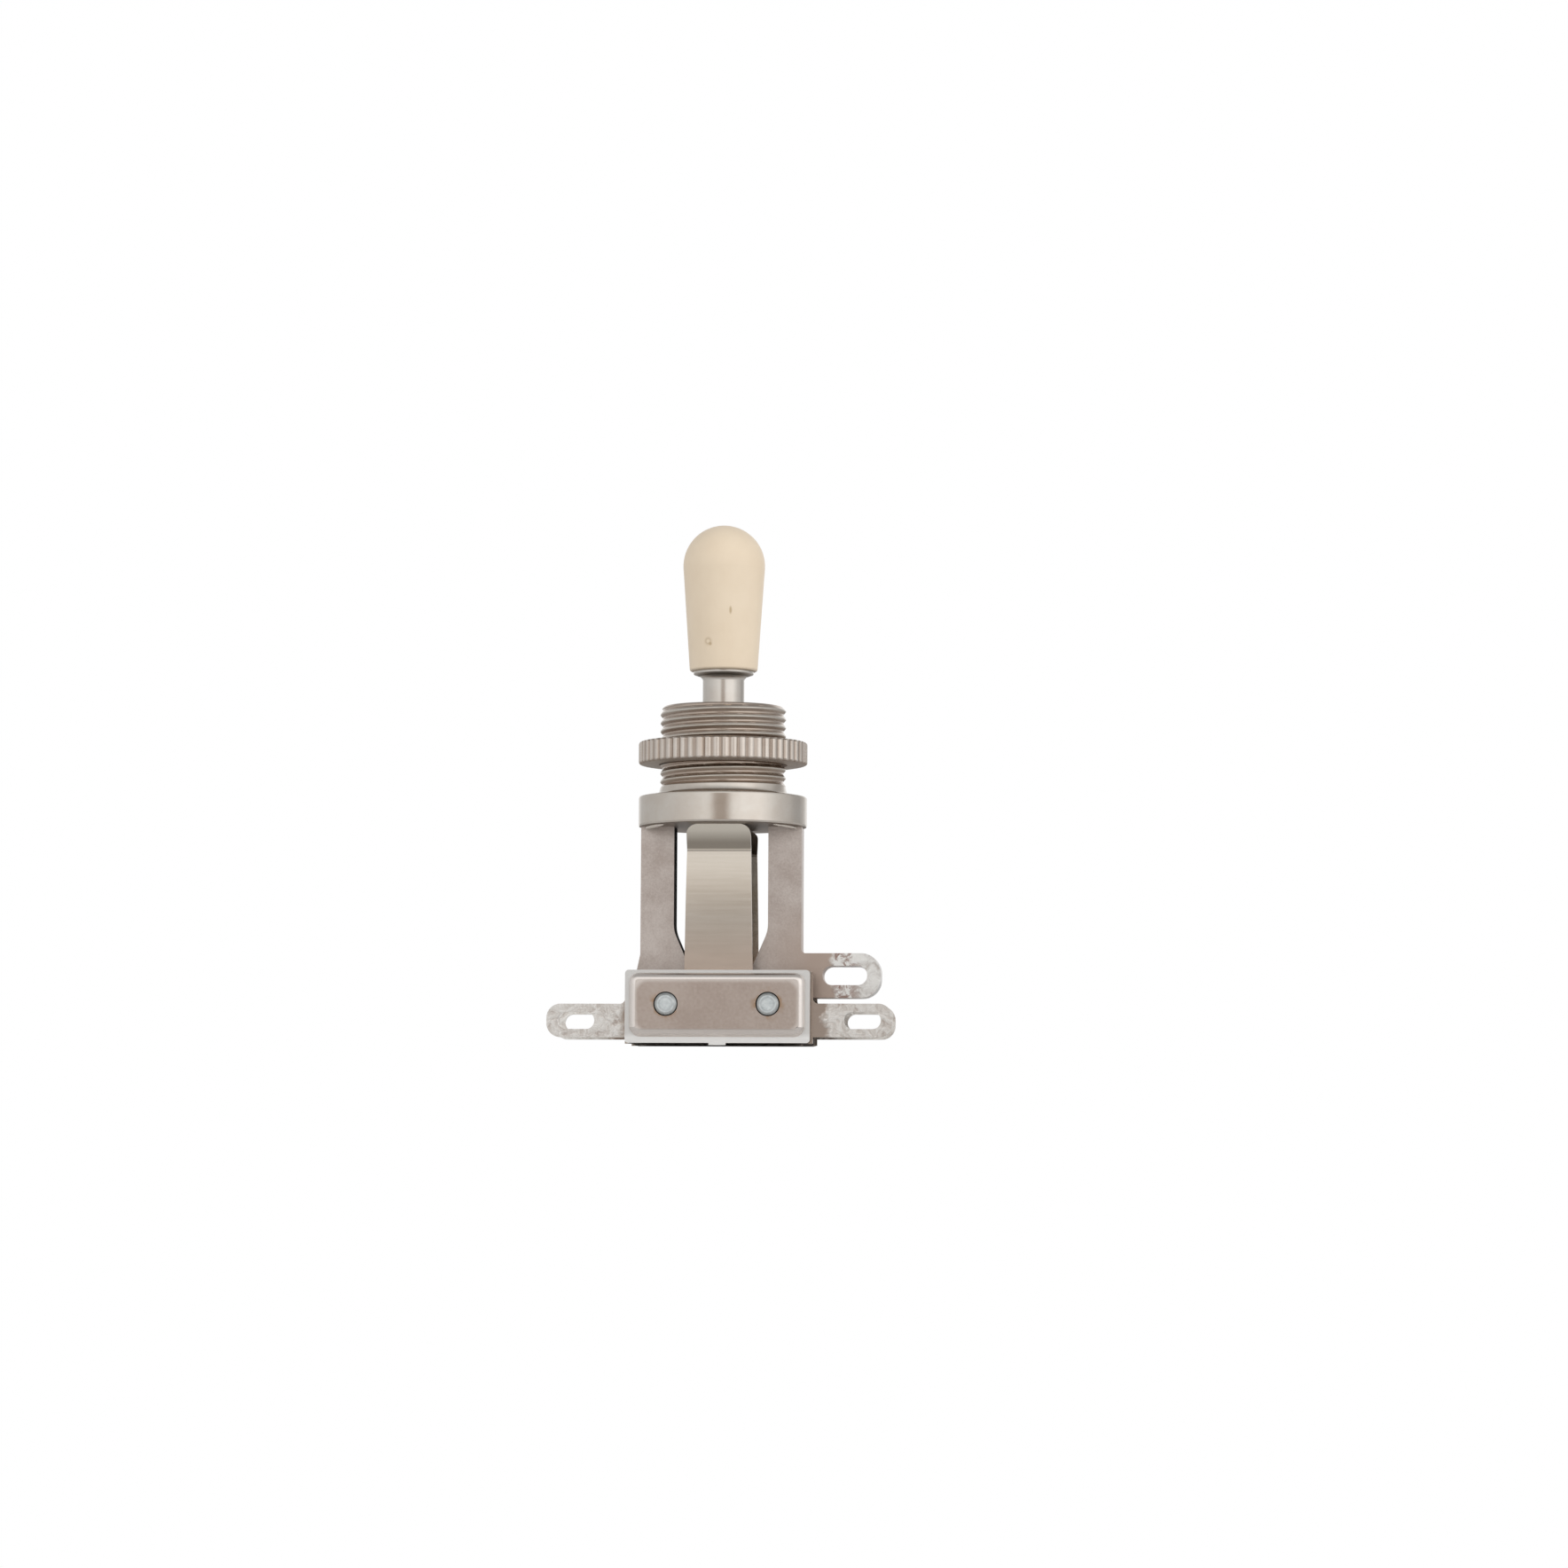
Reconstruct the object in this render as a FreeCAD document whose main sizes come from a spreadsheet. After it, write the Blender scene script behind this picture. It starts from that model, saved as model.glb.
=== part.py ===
import FreeCAD, Part
import math
import os

import Sketcher

# Three-way toggle selector switch with two pairs of leaf contacts, in mm.
# Every piece is drawn with Z up from the collar's top face, X along the pivot pin and -Y to the front.
# Its Placement then lowers it, so that the panel's seat, the top of the mounting nut, is at Z = 0.
doc = FreeCAD.newDocument("pickup_selector_switch")
sheet = doc.addObject("Spreadsheet::Sheet", "Sizes")

# Driving sizes: alias, value, meaning. A drop is a depth below the collar's top face.
SIZES = [
    ("seat_height", 5.17, "nut's top face above the collar"),
    ("collar_flange", 2.02, "collar's reach beyond the thread"),
    ("collar_height", 2.9, "collar's thickness"),
    ("collar_edge", 0.2, "rounding of the collar's outer edges"),
    ("neck_height", 0.83, "top of the plain neck between the collar and the thread"),
    ("neck_reach", 0.17, "neck's foot beyond the thread"),
    ("neck_foot", 0.08, "height of that foot above the collar's rim"),
    ("neck_fillet", 0.4, "fillet round the foot"),
    ("thread_radius", 5.93, "outside of the bushing's thread"),
    ("thread_half_depth", 0.26, "from there to the pitch radius, where the nut grips it"),
    ("thread_top", 8.5, "bushing's top face"),
    ("thread_chamfer", 0.35, "chamfer at the bushing's mouth"),
    ("nut_over_collar", 0.02, "knurled nut's radius beyond the collar's"),
    ("nut_height", 2.16, "nut's thickness"),
    ("nut_chamfer", 0.18, "nut's outer edges"),
    ("nut_clearance", 0.05, "running fit of the nut on the thread"),
    ("nut_mouth", 0.35, "countersink at each end of its bore"),
    ("knurl_count", 60, "grooves round the nut"),
    ("knurl_depth", 0.26, "depth of a groove"),
    ("lever_radius", 1.97, "lever's shaft"),
    ("seat_radius", 2.85, "flange that the tip sits on"),
    ("tip_stand", 3.4, "top face of that flange above the bushing"),
    ("flange_cone", 0.75, "cone under the flange"),
    ("flange_fillet", 0.3, "fillet between that cone and the shaft"),
    ("flange_edge", 0.25, "straight edge of the flange"),
    ("stud_radius", 1.5, "lever's stud inside the tip"),
    ("stud_height", 6.5, "length of that stud"),
    ("tip_radius", 3.87, "ball end of the tip"),
    ("tip_base_radius", 3.2, "tip's lower end"),
    ("tip_height", 13.9, "tip from end to end"),
    ("tip_edge", 0.25, "rounding of the tip's lower edge"),
    ("pivot_rise", 0.95, "pivot pin's axis above the collar's underside"),
    ("pin_radius", 0.8, "pivot pin"),
    ("pin_end_gap", 0.15, "pin's ends to the legs' tenons"),
    ("pin_clearance", 0.05, "running fit of the pin"),
    ("throw_angle", 12, "lever's swing to each side, in degrees"),
    ("swing_clearance", 0.3, "bore's clearance round the swung lever"),
    ("cam_width", 4.6, "cam along the pin"),
    ("cam_top_gap", 0.75, "collar's underside to the cam's top face"),
    ("cam_length", 4.55, "cam from top to bottom"),
    ("cam_shoulder", 2.05, "cam's top face to its bearing face"),
    ("cam_flat_length", 1.3, "length of that face"),
    ("cam_foot", 1.3, "half thickness at the cam's lower end"),
    ("cam_rounding", 1.1, "rounding of the bearing face's ends"),
    ("cam_gap", 0.1, "cam to the long leaf at rest"),
    ("cam_stub_radius", 1.2, "lever's stub inside the cam"),
    ("cam_stub_length", 3.4, "length of that stub"),
    ("frame_thickness", 3.2, "stamped frame plate"),
    ("leg_inset", 0.375, "collar's reach beyond the legs"),
    ("leg_width", 3.14, "one leg"),
    ("flare_below_lug", 0.1, "earth lug's upper edge to where the legs widen"),
    ("flare_width", 0.35, "widening on each side"),
    ("base_below_stack", 0.05, "frame's lower edge below the stacks"),
    ("base_step_rise", 3.8, "widened part's lower end above that edge"),
    ("window_taper", 3.75, "height over which the window narrows"),
    ("window_narrowing", 1.62, "window's narrowing on each side"),
    ("window_above_stack", 0.1, "window's foot above the stacks"),
    ("window_corner", 3.0, "rounding where the window narrows"),
    ("window_foot_corner", 0.8, "rounding at the window's foot"),
    ("tenon_inset", 0.93, "inner shoulder of the leg's tenon"),
    ("tenon_outset", 0.42, "outer shoulder of the leg's tenon"),
    ("tenon_height", 1.0, "depth of the tenon in the collar"),
    ("earth_lug_rise", 1.75, "earth lug's upper edge above the stacks"),
    ("earth_lug_width", 4.17, "earth lug's width"),
    ("earth_lug_length", 7.445, "earth lug's end beyond the leg"),
    ("earth_lug_corner", 1.8, "rounding of its end"),
    ("earth_slot_length", 4.2, "wire slot in the earth lug"),
    ("earth_slot_width", 1.82, "its width"),
    ("earth_slot_rim", 1.25, "metal left at its end"),
    ("earth_lug_fillet", 0.4, "fillet between the leg and the earth lug"),
    ("stack_overhang", 1.06, "clamp plates and sheets beyond the legs"),
    ("stack_height", 6.8, "clamp plates and sheets along Z"),
    ("stack_top_drop", 16.55, "their upper edge"),
    ("sheet_corner", 0.35, "rounding of their corners"),
    ("inner_sheet", 0.8, "insulator on the frame"),
    ("middle_sheet", 0.9, "insulator between the leaves"),
    ("outer_sheet", 0.6, "insulator under the clamp plate"),
    ("leaf_thickness", 0.4, "leaf springs"),
    ("plate_thickness", 0.6, "drawn clamp plate's sheet"),
    ("panel_rise", 0.75, "raised panel of the clamp plate"),
    ("panel_rim", 0.55, "flat rim round the raised panel"),
    ("panel_corner", 0.9, "panel's corners"),
    ("panel_edge", 0.6, "rounding of the panel's front edge"),
    ("nib_width", 1.6, "nib at the front plate's lower edge"),
    ("nib_height", 0.2, "its height"),
    ("screw_inset", 3.875, "clamp screws' axes from the plates' ends"),
    ("screw_below_top", 3.2, "clamp screws' axes below the plates' upper edge"),
    ("screw_radius", 1.05, "screw's shank"),
    ("screw_hole_radius", 1.14, "hole in the clamp plates"),
    ("screw_proud", 0.2, "screw's end in front of the plate"),
    ("screw_point", 0.25, "chamfer at the screw's end"),
    ("head_radius", 1.9, "screw's head"),
    ("head_height", 1.2, "its height"),
    ("head_edge", 0.35, "rounding of the head"),
    ("head_slot_width", 0.55, "driver slot"),
    ("head_slot_depth", 0.6, "its depth"),
    ("sleeve_radius", 1.5, "insulating sleeve round a screw"),
    ("sleeve_clearance", 0.05, "hole round the sleeve"),
    ("blade_tip_width", 6.0, "long leaf at its bend"),
    ("blade_root_width", 6.4, "long leaf above the stack"),
    ("blade_bend_drop", 5.25, "long leaf's bend"),
    ("blade_flare_height", 2.25, "height of the turned-out end"),
    ("blade_flare_angle", 28.6, "its lean, in degrees"),
    ("blade_corner", 1.0, "cut corners of the turned-out end"),
    ("blade_corner_rounding", 0.8, "rounding at both ends of those cuts"),
    ("bend_radius", 0.5, "inside of the bend"),
    ("short_blade_width", 4.5, "short leaf's blade"),
    ("short_blade_drop", 8.55, "short leaf's upper end"),
    ("short_blade_corner", 0.6, "its corners"),
    ("lug_length", 7.615, "end of a leaf's lug beyond the stack"),
    ("lug_rise", 0.59, "lug's lower edge above the stack's"),
    ("lug_width", 3.14, "lug's width"),
    ("lug_corner", 1.3, "rounding of its end"),
    ("lug_slot_length", 3.45, "wire slot in a lug"),
    ("lug_slot_width", 1.6, "its width"),
    ("lug_rim", 1.06, "metal left at its end"),
    ("lug_neck", 0.22, "leaf's root beyond the stack on the lug's side"),
    ("lug_neck_chamfer", 0.4, "its upper corner"),
    ("lug_fillet", 0.5, "fillet between the neck and the lug"),
    ("contact_inset", 1.2, "contacts' axis below the short leaf's upper end"),
    ("contact_radius", 1.0, "contact buttons"),
    ("contact_edge", 0.12, "chamfer of a button"),
]

for row, (alias, value, meaning) in enumerate(SIZES, start=1):
    sheet.set(f"A{row}", meaning)
    sheet.set(f"B{row}", str(value))
    sheet.setAlias(f"B{row}", alias)
doc.recompute()

FRONT, REAR = 0, 180


class Size:
    """A size worked out from the sheet, as its number and as the expression that gives it."""

    def __init__(self, number, text):
        self.number = number
        self.text = text

    def __add__(self, other):
        return Size(self.number + as_size(other).number, f"({self.text} + {as_size(other).text})")

    def __sub__(self, other):
        return Size(self.number - as_size(other).number, f"({self.text} - {as_size(other).text})")

    def __mul__(self, other):
        return Size(self.number * as_size(other).number, f"({self.text} * {as_size(other).text})")

    def __truediv__(self, other):
        return Size(self.number / as_size(other).number, f"({self.text} / {as_size(other).text})")

    def __neg__(self):
        return Size(-self.number, f"(-{self.text})")


def as_size(value):
    return value if isinstance(value, Size) else Size(value, str(value))


def size(alias):
    return Size(float(sheet.get(alias)), f"Sizes.{alias}")


def trig(function, angle):
    """The sine, cosine or tangent of an angle given in degrees."""
    number = getattr(math, function)(math.radians(angle.number))
    return Size(number, f"{function}({angle.text} * 1 deg)")


def bind(thing, path, value):
    thing.setExpression(path, as_size(value).text)


def new_body(label, turn=FRONT):
    """An empty body, lowered so that the panel's seat is at Z = 0 and turned about the lever's axis."""
    body = doc.addObject("PartDesign::Body", label)
    body.Label = label
    body.Placement = FreeCAD.Placement(
        FreeCAD.Vector(0, 0, -size("seat_height").number), FreeCAD.Rotation(turn, 0, 0)
    )
    bind(body, "Placement.Base.z", -size("seat_height"))
    return body


def new_sketch(body, name, plane, offset=None):
    """A sketch on one of the body's origin planes. On XZ the offset leads to the front, -Y."""
    sketch = body.newObject("Sketcher::SketchObject", name)
    support = [f for f in body.Origin.OriginFeatures if f.Role == plane][0]
    sketch.AttachmentSupport = (support, [""])
    sketch.MapMode = "FlatFace"
    if offset is not None:
        bind(sketch, "AttachmentOffset.Base.z", offset)
        sketch.AttachmentOffset.Base.z = offset.number
    return sketch


def set_length(sketch, constraint, value):
    number = sketch.addConstraint(constraint)
    bind(sketch, f"Constraints[{number}]", value)


def pin_point(sketch, piece, end, across, up):
    """Hold a point at two sizes from the sketch's origin. A plain 0 puts it on the axis."""
    for kind, value, axis in (("DistanceX", across, -2), ("DistanceY", up, -1)):
        if isinstance(value, Size):
            set_length(sketch, Sketcher.Constraint(kind, -1, 1, piece, end, value.number), value)
        else:
            sketch.addConstraint(Sketcher.Constraint("PointOnObject", piece, end, axis))


def draw_outline(sketch, corners):
    """A closed run of straight lines through the corners, each held at its own two sizes."""
    first = sketch.GeometryCount
    spots = [FreeCAD.Vector(as_size(a).number, as_size(u).number, 0) for a, u in corners]
    for here, there in zip(spots, spots[1:] + spots[:1]):
        sketch.addGeometry(Part.LineSegment(here, there), False)
    for number, (across, up) in enumerate(corners):
        line = first + number
        before = first + (number - 1) % len(corners)
        sketch.addConstraint(Sketcher.Constraint("Coincident", before, 2, line, 1))
        pin_point(sketch, line, 1, across, up)


def draw_box(sketch, left, right, bottom, top):
    draw_outline(sketch, [(left, bottom), (right, bottom), (right, top), (left, top)])


def draw_circle(sketch, across, up, radius):
    middle = FreeCAD.Vector(as_size(across).number, as_size(up).number, 0)
    circle = Part.Circle(middle, FreeCAD.Vector(0, 0, 1), radius.number)
    number = sketch.addGeometry(circle, False)
    pin_point(sketch, number, 3, across, up)
    set_length(sketch, Sketcher.Constraint("Radius", number, radius.number), radius)


def draw_slot(sketch, across, up, length, width):
    """A level slot with round ends, centred on a point."""
    radius = width / 2
    shift = (length - width) / 2
    up_vector = FreeCAD.Vector(0, 0, 1)
    arcs = []
    for middle, start in ((across + shift, -90), (across - shift, 90)):
        centre = FreeCAD.Vector(middle.number, up.number, 0)
        arc = Part.ArcOfCircle(
            Part.Circle(centre, up_vector, radius.number),
            math.radians(start),
            math.radians(start + 180),
        )
        number = sketch.addGeometry(arc, False)
        pin_point(sketch, number, 3, middle, up)
        set_length(sketch, Sketcher.Constraint("Radius", number, radius.number), radius)
        arcs.append(number)
    right, left = arcs
    for here, there, side in ((right, left, 1), (left, right, -1)):
        line = Part.LineSegment(
            FreeCAD.Vector(sketch.Geometry[here].Center.x, up.number + side * radius.number, 0),
            FreeCAD.Vector(sketch.Geometry[there].Center.x, up.number + side * radius.number, 0),
        )
        number = sketch.addGeometry(line, False)
        sketch.addConstraint(Sketcher.Constraint("Tangent", here, 2, number, 1))
        sketch.addConstraint(Sketcher.Constraint("Tangent", number, 2, there, 1))


def add_pad(body, sketch, length, both_ways=False):
    pad = body.newObject("PartDesign::Pad", sketch.Name + "_pad")
    pad.Profile = sketch
    pad.SideType = "Symmetric" if both_ways else "One side"
    bind(pad, "Length", length)
    doc.recompute()
    return pad


def cut_pocket(body, sketch, length, both_ways=True, backwards=False):
    """Cut the sketch's shape out of the body and make sure that it took something away."""
    before = body.Shape.Volume
    pocket = body.newObject("PartDesign::Pocket", sketch.Name + "_cut")
    pocket.Profile = sketch
    pocket.SideType = "Symmetric" if both_ways else "One side"
    pocket.Reversed = backwards
    bind(pocket, "Length", length)
    doc.recompute()
    if not body.Shape.Volume < before:
        raise ValueError(f"{sketch.Name} cuts nothing")
    return pocket


def revolve(body, sketch):
    """Turn the sketch round the vertical axis."""
    feature = body.newObject("PartDesign::Revolution", sketch.Name + "_turned")
    feature.Profile = sketch
    feature.ReferenceAxis = (sketch, ["V_Axis"])
    feature.Angle = 360
    doc.recompute()
    return feature


def edges_along(shape, axis, spots):
    """Names of the straight edges that run along an axis (0, 1 or 2) through spots on the other two."""
    others = [n for n in range(3) if n != axis]
    names = []
    for number, edge in enumerate(shape.Edges, start=1):
        ends = [vertex.Point for vertex in edge.Vertexes]
        if edge.Degenerated or len(ends) != 2 or edge.Curve.TypeId != "Part::GeomLine":
            continue
        if max(abs(ends[0][n] - ends[1][n]) for n in others) > 1e-6:
            continue
        for spot in spots:
            if max(abs(ends[0][n] - as_size(s).number) for n, s in zip(others, spot)) < 1e-4:
                names.append(f"Edge{number}")
    return names


def rim_edges(shape, level, radius):
    """Names of the full circles about the vertical axis at a level and radius."""
    return [
        f"Edge{number}"
        for number, edge in enumerate(shape.Edges, start=1)
        if not edge.Degenerated
        and edge.Curve.TypeId == "Part::GeomCircle"
        and abs(edge.Curve.Radius - radius.number) < 1e-6
        and abs(edge.Curve.Center.z - level.number) < 1e-6
    ]


def level_edges(shape, level):
    """Names of the edges that lie wholly at one depth along Y."""
    return [
        f"Edge{number}"
        for number, edge in enumerate(shape.Edges, start=1)
        if abs(edge.BoundBox.YMin - level.number) < 1e-6 and abs(edge.BoundBox.YMax - level.number) < 1e-6
    ]


def dress(body, kind, property_name, base, names, amount):
    """A fillet or chamfer on named edges of the feature before it."""
    if not names:
        raise ValueError(f"no edge for a {kind} on {body.Label}")
    feature = body.newObject(f"PartDesign::{kind}", f"{body.Name}_{kind}")
    feature.Base = (base, names)
    bind(feature, property_name, amount)
    doc.recompute()
    return feature


def local_shape(body):
    """The body's shape in its own frame, where its edges are looked for."""
    return body.Tip.Shape


def round_along(body, axis, spots, radius):
    tip = body.Tip
    return dress(body, "Fillet", "Radius", tip, edges_along(local_shape(body), axis, spots), radius)


# Lengths that several pieces share.
collar_radius = size("thread_radius") + size("collar_flange")
collar_underside = -size("collar_height")
thread_pitch_radius = size("thread_radius") - size("thread_half_depth")
tip_seat = size("thread_top") + size("tip_stand")
pivot_level = collar_underside + size("pivot_rise")
cam_top = collar_underside - size("cam_top_gap")
leg_outside = collar_radius - size("leg_inset")
window_half = leg_outside - size("leg_width")
tenon_inside = window_half + size("tenon_inset")
tenon_outside = leg_outside - size("tenon_outset")
stack_top = -size("stack_top_drop")
stack_bottom = stack_top - size("stack_height")
half_stack = leg_outside + size("stack_overhang")
screw_level = stack_top - size("screw_below_top")
screw_x = half_stack - size("screw_inset")
sleeve_hole = size("sleeve_radius") + size("sleeve_clearance")
lug_bottom = stack_bottom + size("lug_rise")
lug_top = lug_bottom + size("lug_width")
lug_reach = half_stack + size("lug_length")
contact_level = -size("short_blade_drop") - size("contact_inset")
half_frame = size("frame_thickness") / 2
short_leaf_near = half_frame + size("inner_sheet")
middle_near = short_leaf_near + size("leaf_thickness")
long_leaf_near = middle_near + size("middle_sheet")
outer_near = long_leaf_near + size("leaf_thickness")
plate_near = outer_near + size("outer_sheet")
panel_back = plate_near + size("panel_rise")
plate_front = panel_back + size("plate_thickness")


def draw_screw_holes(sketch, radius):
    for across in (screw_x, -screw_x):
        draw_circle(sketch, across, screw_level, radius)


def make_bushing():
    """Turned bushing: threaded neck, plain foot, collar, and a bore that widens to its mouth.

    The thread is drawn as a plain neck at its outside radius, stepped down to its pitch radius inside
    the nut, so that the neck holds the nut along the axis as the thread does.
    """
    body = new_body("bushing")
    nut_top = size("seat_height") + size("nut_clearance")
    nut_bottom = size("seat_height") - size("nut_height") - size("nut_clearance")
    lean = trig("tan", size("throw_angle"))
    slack = size("lever_radius") / trig("cos", size("throw_angle")) + size("swing_clearance")
    lower_mouth = slack + size("pivot_rise") * lean
    upper_mouth = slack + (size("thread_top") - pivot_level) * lean
    edge = size("collar_edge")
    neck_radius = size("thread_radius") + size("neck_reach")
    profile = new_sketch(body, "bushing_profile", "XZ_Plane")
    draw_outline(
        profile,
        [
            (lower_mouth, collar_underside),
            (collar_radius - edge, collar_underside),
            (collar_radius, collar_underside + edge),
            (collar_radius, -edge),
            (collar_radius - edge, 0),
            (neck_radius, size("neck_foot")),
            (size("thread_radius"), size("neck_height")),
            (size("thread_radius"), nut_bottom),
            (thread_pitch_radius, nut_bottom),
            (thread_pitch_radius, nut_top),
            (size("thread_radius"), nut_top),
            (size("thread_radius"), size("thread_top") - size("thread_chamfer")),
            (size("thread_radius") - size("thread_chamfer"), size("thread_top")),
            (upper_mouth, size("thread_top")),
            (slack, pivot_level),
        ],
    )
    revolve(body, profile)
    foot = rim_edges(local_shape(body), size("neck_foot"), neck_radius)
    dress(body, "Fillet", "Radius", body.Tip, foot, size("neck_fillet"))

    # The pivot pin lies in a groove across the underside, closed by the legs' tops and tenons.
    groove = new_sketch(body, "pin_groove", "YZ_Plane")
    pin_room = size("pin_radius") + size("pin_clearance")
    draw_circle(groove, 0, pivot_level, pin_room)
    cut_pocket(body, groove, tenon_inside * 2)
    groove_mouth = new_sketch(body, "pin_groove_mouth", "YZ_Plane")
    draw_box(groove_mouth, -pin_room, pin_room, collar_underside - pin_room, pivot_level)
    cut_pocket(body, groove_mouth, tenon_inside * 2)

    # Each leg's tenon is staked in a pocket of the collar.
    pockets = new_sketch(body, "tenon_pockets", "XZ_Plane")
    pocket_top = collar_underside + size("tenon_height")
    for side in (1, -1):
        draw_box(
            pockets,
            tenon_inside * side,
            tenon_outside * side,
            collar_underside - size("tenon_height"),
            pocket_top,
        )
    cut_pocket(body, pockets, size("frame_thickness"))
    return body


def make_mounting_nut():
    """Ring nut under the panel: bore countersunk at both ends, straight knurl cut round the rim."""
    body = new_body("mounting_nut")
    top = size("seat_height")
    bottom = top - size("nut_height")
    bore = thread_pitch_radius + size("nut_clearance")
    mouth = size("nut_mouth")
    rim = collar_radius + size("nut_over_collar")
    chamfer = size("nut_chamfer")
    profile = new_sketch(body, "nut_profile", "XZ_Plane")
    draw_outline(
        profile,
        [
            (bore + mouth, bottom),
            (rim - chamfer, bottom),
            (rim, bottom + chamfer),
            (rim, top - chamfer),
            (rim - chamfer, top),
            (bore + mouth, top),
            (bore, top - mouth),
            (bore, bottom + mouth),
        ],
    )
    revolve(body, profile)

    groove = new_sketch(body, "knurl_groove", "XY_Plane", top)
    root = rim - size("knurl_depth")
    reach = rim + size("knurl_depth")
    draw_outline(
        groove,
        [(root, 0), (reach, size("knurl_depth") * 2), (reach, size("knurl_depth") * -2)],
    )
    cut = cut_pocket(body, groove, size("nut_height"), both_ways=False)
    knurl = body.newObject("PartDesign::PolarPattern", "knurl")
    knurl.Originals = [cut]
    knurl.Axis = (groove, ["N_Axis"])
    knurl.Angle = 360
    bind(knurl, "Occurrences", size("knurl_count"))
    body.Tip = knurl
    doc.recompute()
    return body


def make_tip():
    """Moulded knob: a cone that runs into a ball end, with a blind hole for the lever's stud."""
    body = new_body("tip")
    base = tip_seat
    top = base + size("tip_height")
    centre = top - size("tip_radius")
    profile = new_sketch(body, "tip_profile", "XZ_Plane")
    # The cone's side is tangent to the ball.
    rise = centre - base
    lean = math.asin((size("tip_radius").number - size("tip_base_radius").number) / rise.number)
    middle = FreeCAD.Vector(0, centre.number, 0)
    meet = FreeCAD.Vector(
        size("tip_radius").number * math.cos(lean),
        centre.number - size("tip_radius").number * math.sin(lean),
        0,
    )
    apex = FreeCAD.Vector(0, top.number, 0)
    foot = FreeCAD.Vector(size("tip_base_radius").number, base.number, 0)
    inner = FreeCAD.Vector(size("stud_radius").number, base.number, 0)
    inner_top = FreeCAD.Vector(size("stud_radius").number, (base + size("stud_height")).number, 0)
    hole_end = FreeCAD.Vector(0, inner_top.y, 0)
    ball = Part.ArcOfCircle(
        Part.Circle(middle, FreeCAD.Vector(0, 0, 1), size("tip_radius").number), -lean, math.pi / 2
    )
    arc = profile.addGeometry(ball, False)
    lines = [(apex, hole_end), (hole_end, inner_top), (inner_top, inner), (inner, foot), (foot, meet)]
    numbers = [profile.addGeometry(Part.LineSegment(a, b), False) for a, b in lines]
    for before, after in zip(numbers, numbers[1:]):
        profile.addConstraint(Sketcher.Constraint("Coincident", before, 2, after, 1))
    profile.addConstraint(Sketcher.Constraint("Coincident", arc, 2, numbers[0], 1))
    profile.addConstraint(Sketcher.Constraint("Tangent", numbers[-1], 2, arc, 1))
    pin_point(profile, arc, 3, 0, centre)
    profile.addConstraint(Sketcher.Constraint("PointOnObject", arc, 2, -2))
    radius = size("tip_radius")
    set_length(profile, Sketcher.Constraint("Radius", arc, radius.number), radius)
    pin_point(profile, numbers[1], 1, 0, base + size("stud_height"))
    pin_point(profile, numbers[2], 1, size("stud_radius"), base + size("stud_height"))
    pin_point(profile, numbers[3], 1, size("stud_radius"), base)
    pin_point(profile, numbers[4], 1, size("tip_base_radius"), base)
    revolve(body, profile)
    rim = rim_edges(local_shape(body), base, size("tip_base_radius"))
    dress(body, "Fillet", "Radius", body.Tip, rim, size("tip_edge"))
    return body


def make_lever():
    """Turned lever: stud, flange, shaft with a cross hole for the pin, and the stub that the cam holds."""
    body = new_body("lever")
    seat = tip_seat
    cone_foot = seat - size("flange_edge") - size("flange_cone")
    profile = new_sketch(body, "lever_profile", "XZ_Plane")
    draw_outline(
        profile,
        [
            (0, cam_top - size("cam_stub_length")),
            (size("cam_stub_radius"), cam_top - size("cam_stub_length")),
            (size("cam_stub_radius"), cam_top),
            (size("lever_radius"), cam_top),
            (size("lever_radius"), cone_foot),
            (size("seat_radius"), seat - size("flange_edge")),
            (size("seat_radius"), seat),
            (size("stud_radius"), seat),
            (size("stud_radius"), seat + size("stud_height")),
            (0, seat + size("stud_height")),
        ],
    )
    revolve(body, profile)
    ring = rim_edges(local_shape(body), cone_foot, size("lever_radius"))
    dress(body, "Fillet", "Radius", body.Tip, ring, size("flange_fillet"))
    hole = new_sketch(body, "pin_hole", "YZ_Plane")
    draw_circle(hole, 0, pivot_level, size("pin_radius") + size("pin_clearance"))
    cut_pocket(body, hole, size("lever_radius") * 4)
    return body


def make_pivot_pin():
    """Plain dowel along X, trapped between the legs' tenons."""
    half_length = tenon_inside - size("pin_end_gap")
    pin = doc.addObject("Part::Cylinder", "pivot_pin")
    pin.Label = "pivot_pin"
    pin.Placement = FreeCAD.Placement(FreeCAD.Vector(0, 0, 0), FreeCAD.Rotation(FreeCAD.Vector(0, 1, 0), 90))
    bind(pin, "Radius", size("pin_radius"))
    bind(pin, "Height", half_length * 2)
    bind(pin, "Placement.Base.x", -half_length)
    bind(pin, "Placement.Base.z", pivot_level - size("seat_height"))
    doc.recompute()
    return pin


def make_cam():
    """Moulded cam on the lever's lower end, with a bearing face towards each long leaf."""
    body = new_body("lever_cam")
    top = cam_top
    bottom = top - size("cam_length")
    face = long_leaf_near - size("cam_gap")
    face_top = top - size("cam_shoulder")
    face_bottom = face_top - size("cam_flat_length")
    profile = new_sketch(body, "cam_profile", "YZ_Plane")
    draw_outline(
        profile,
        [
            (size("lever_radius"), top),
            (-size("lever_radius"), top),
            (-face, face_top),
            (-face, face_bottom),
            (-size("cam_foot"), bottom),
            (size("cam_foot"), bottom),
            (face, face_bottom),
            (face, face_top),
        ],
    )
    add_pad(body, profile, size("cam_width"), both_ways=True)
    spots = [(face * side, level) for side in (1, -1) for level in (face_top, face_bottom)]
    round_along(body, 0, spots, size("cam_rounding"))
    bore = new_sketch(body, "stub_bore", "XY_Plane", top)
    draw_circle(bore, 0, 0, size("cam_stub_radius"))
    cut_pocket(body, bore, size("cam_stub_length"), both_ways=False)
    return body


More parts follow.
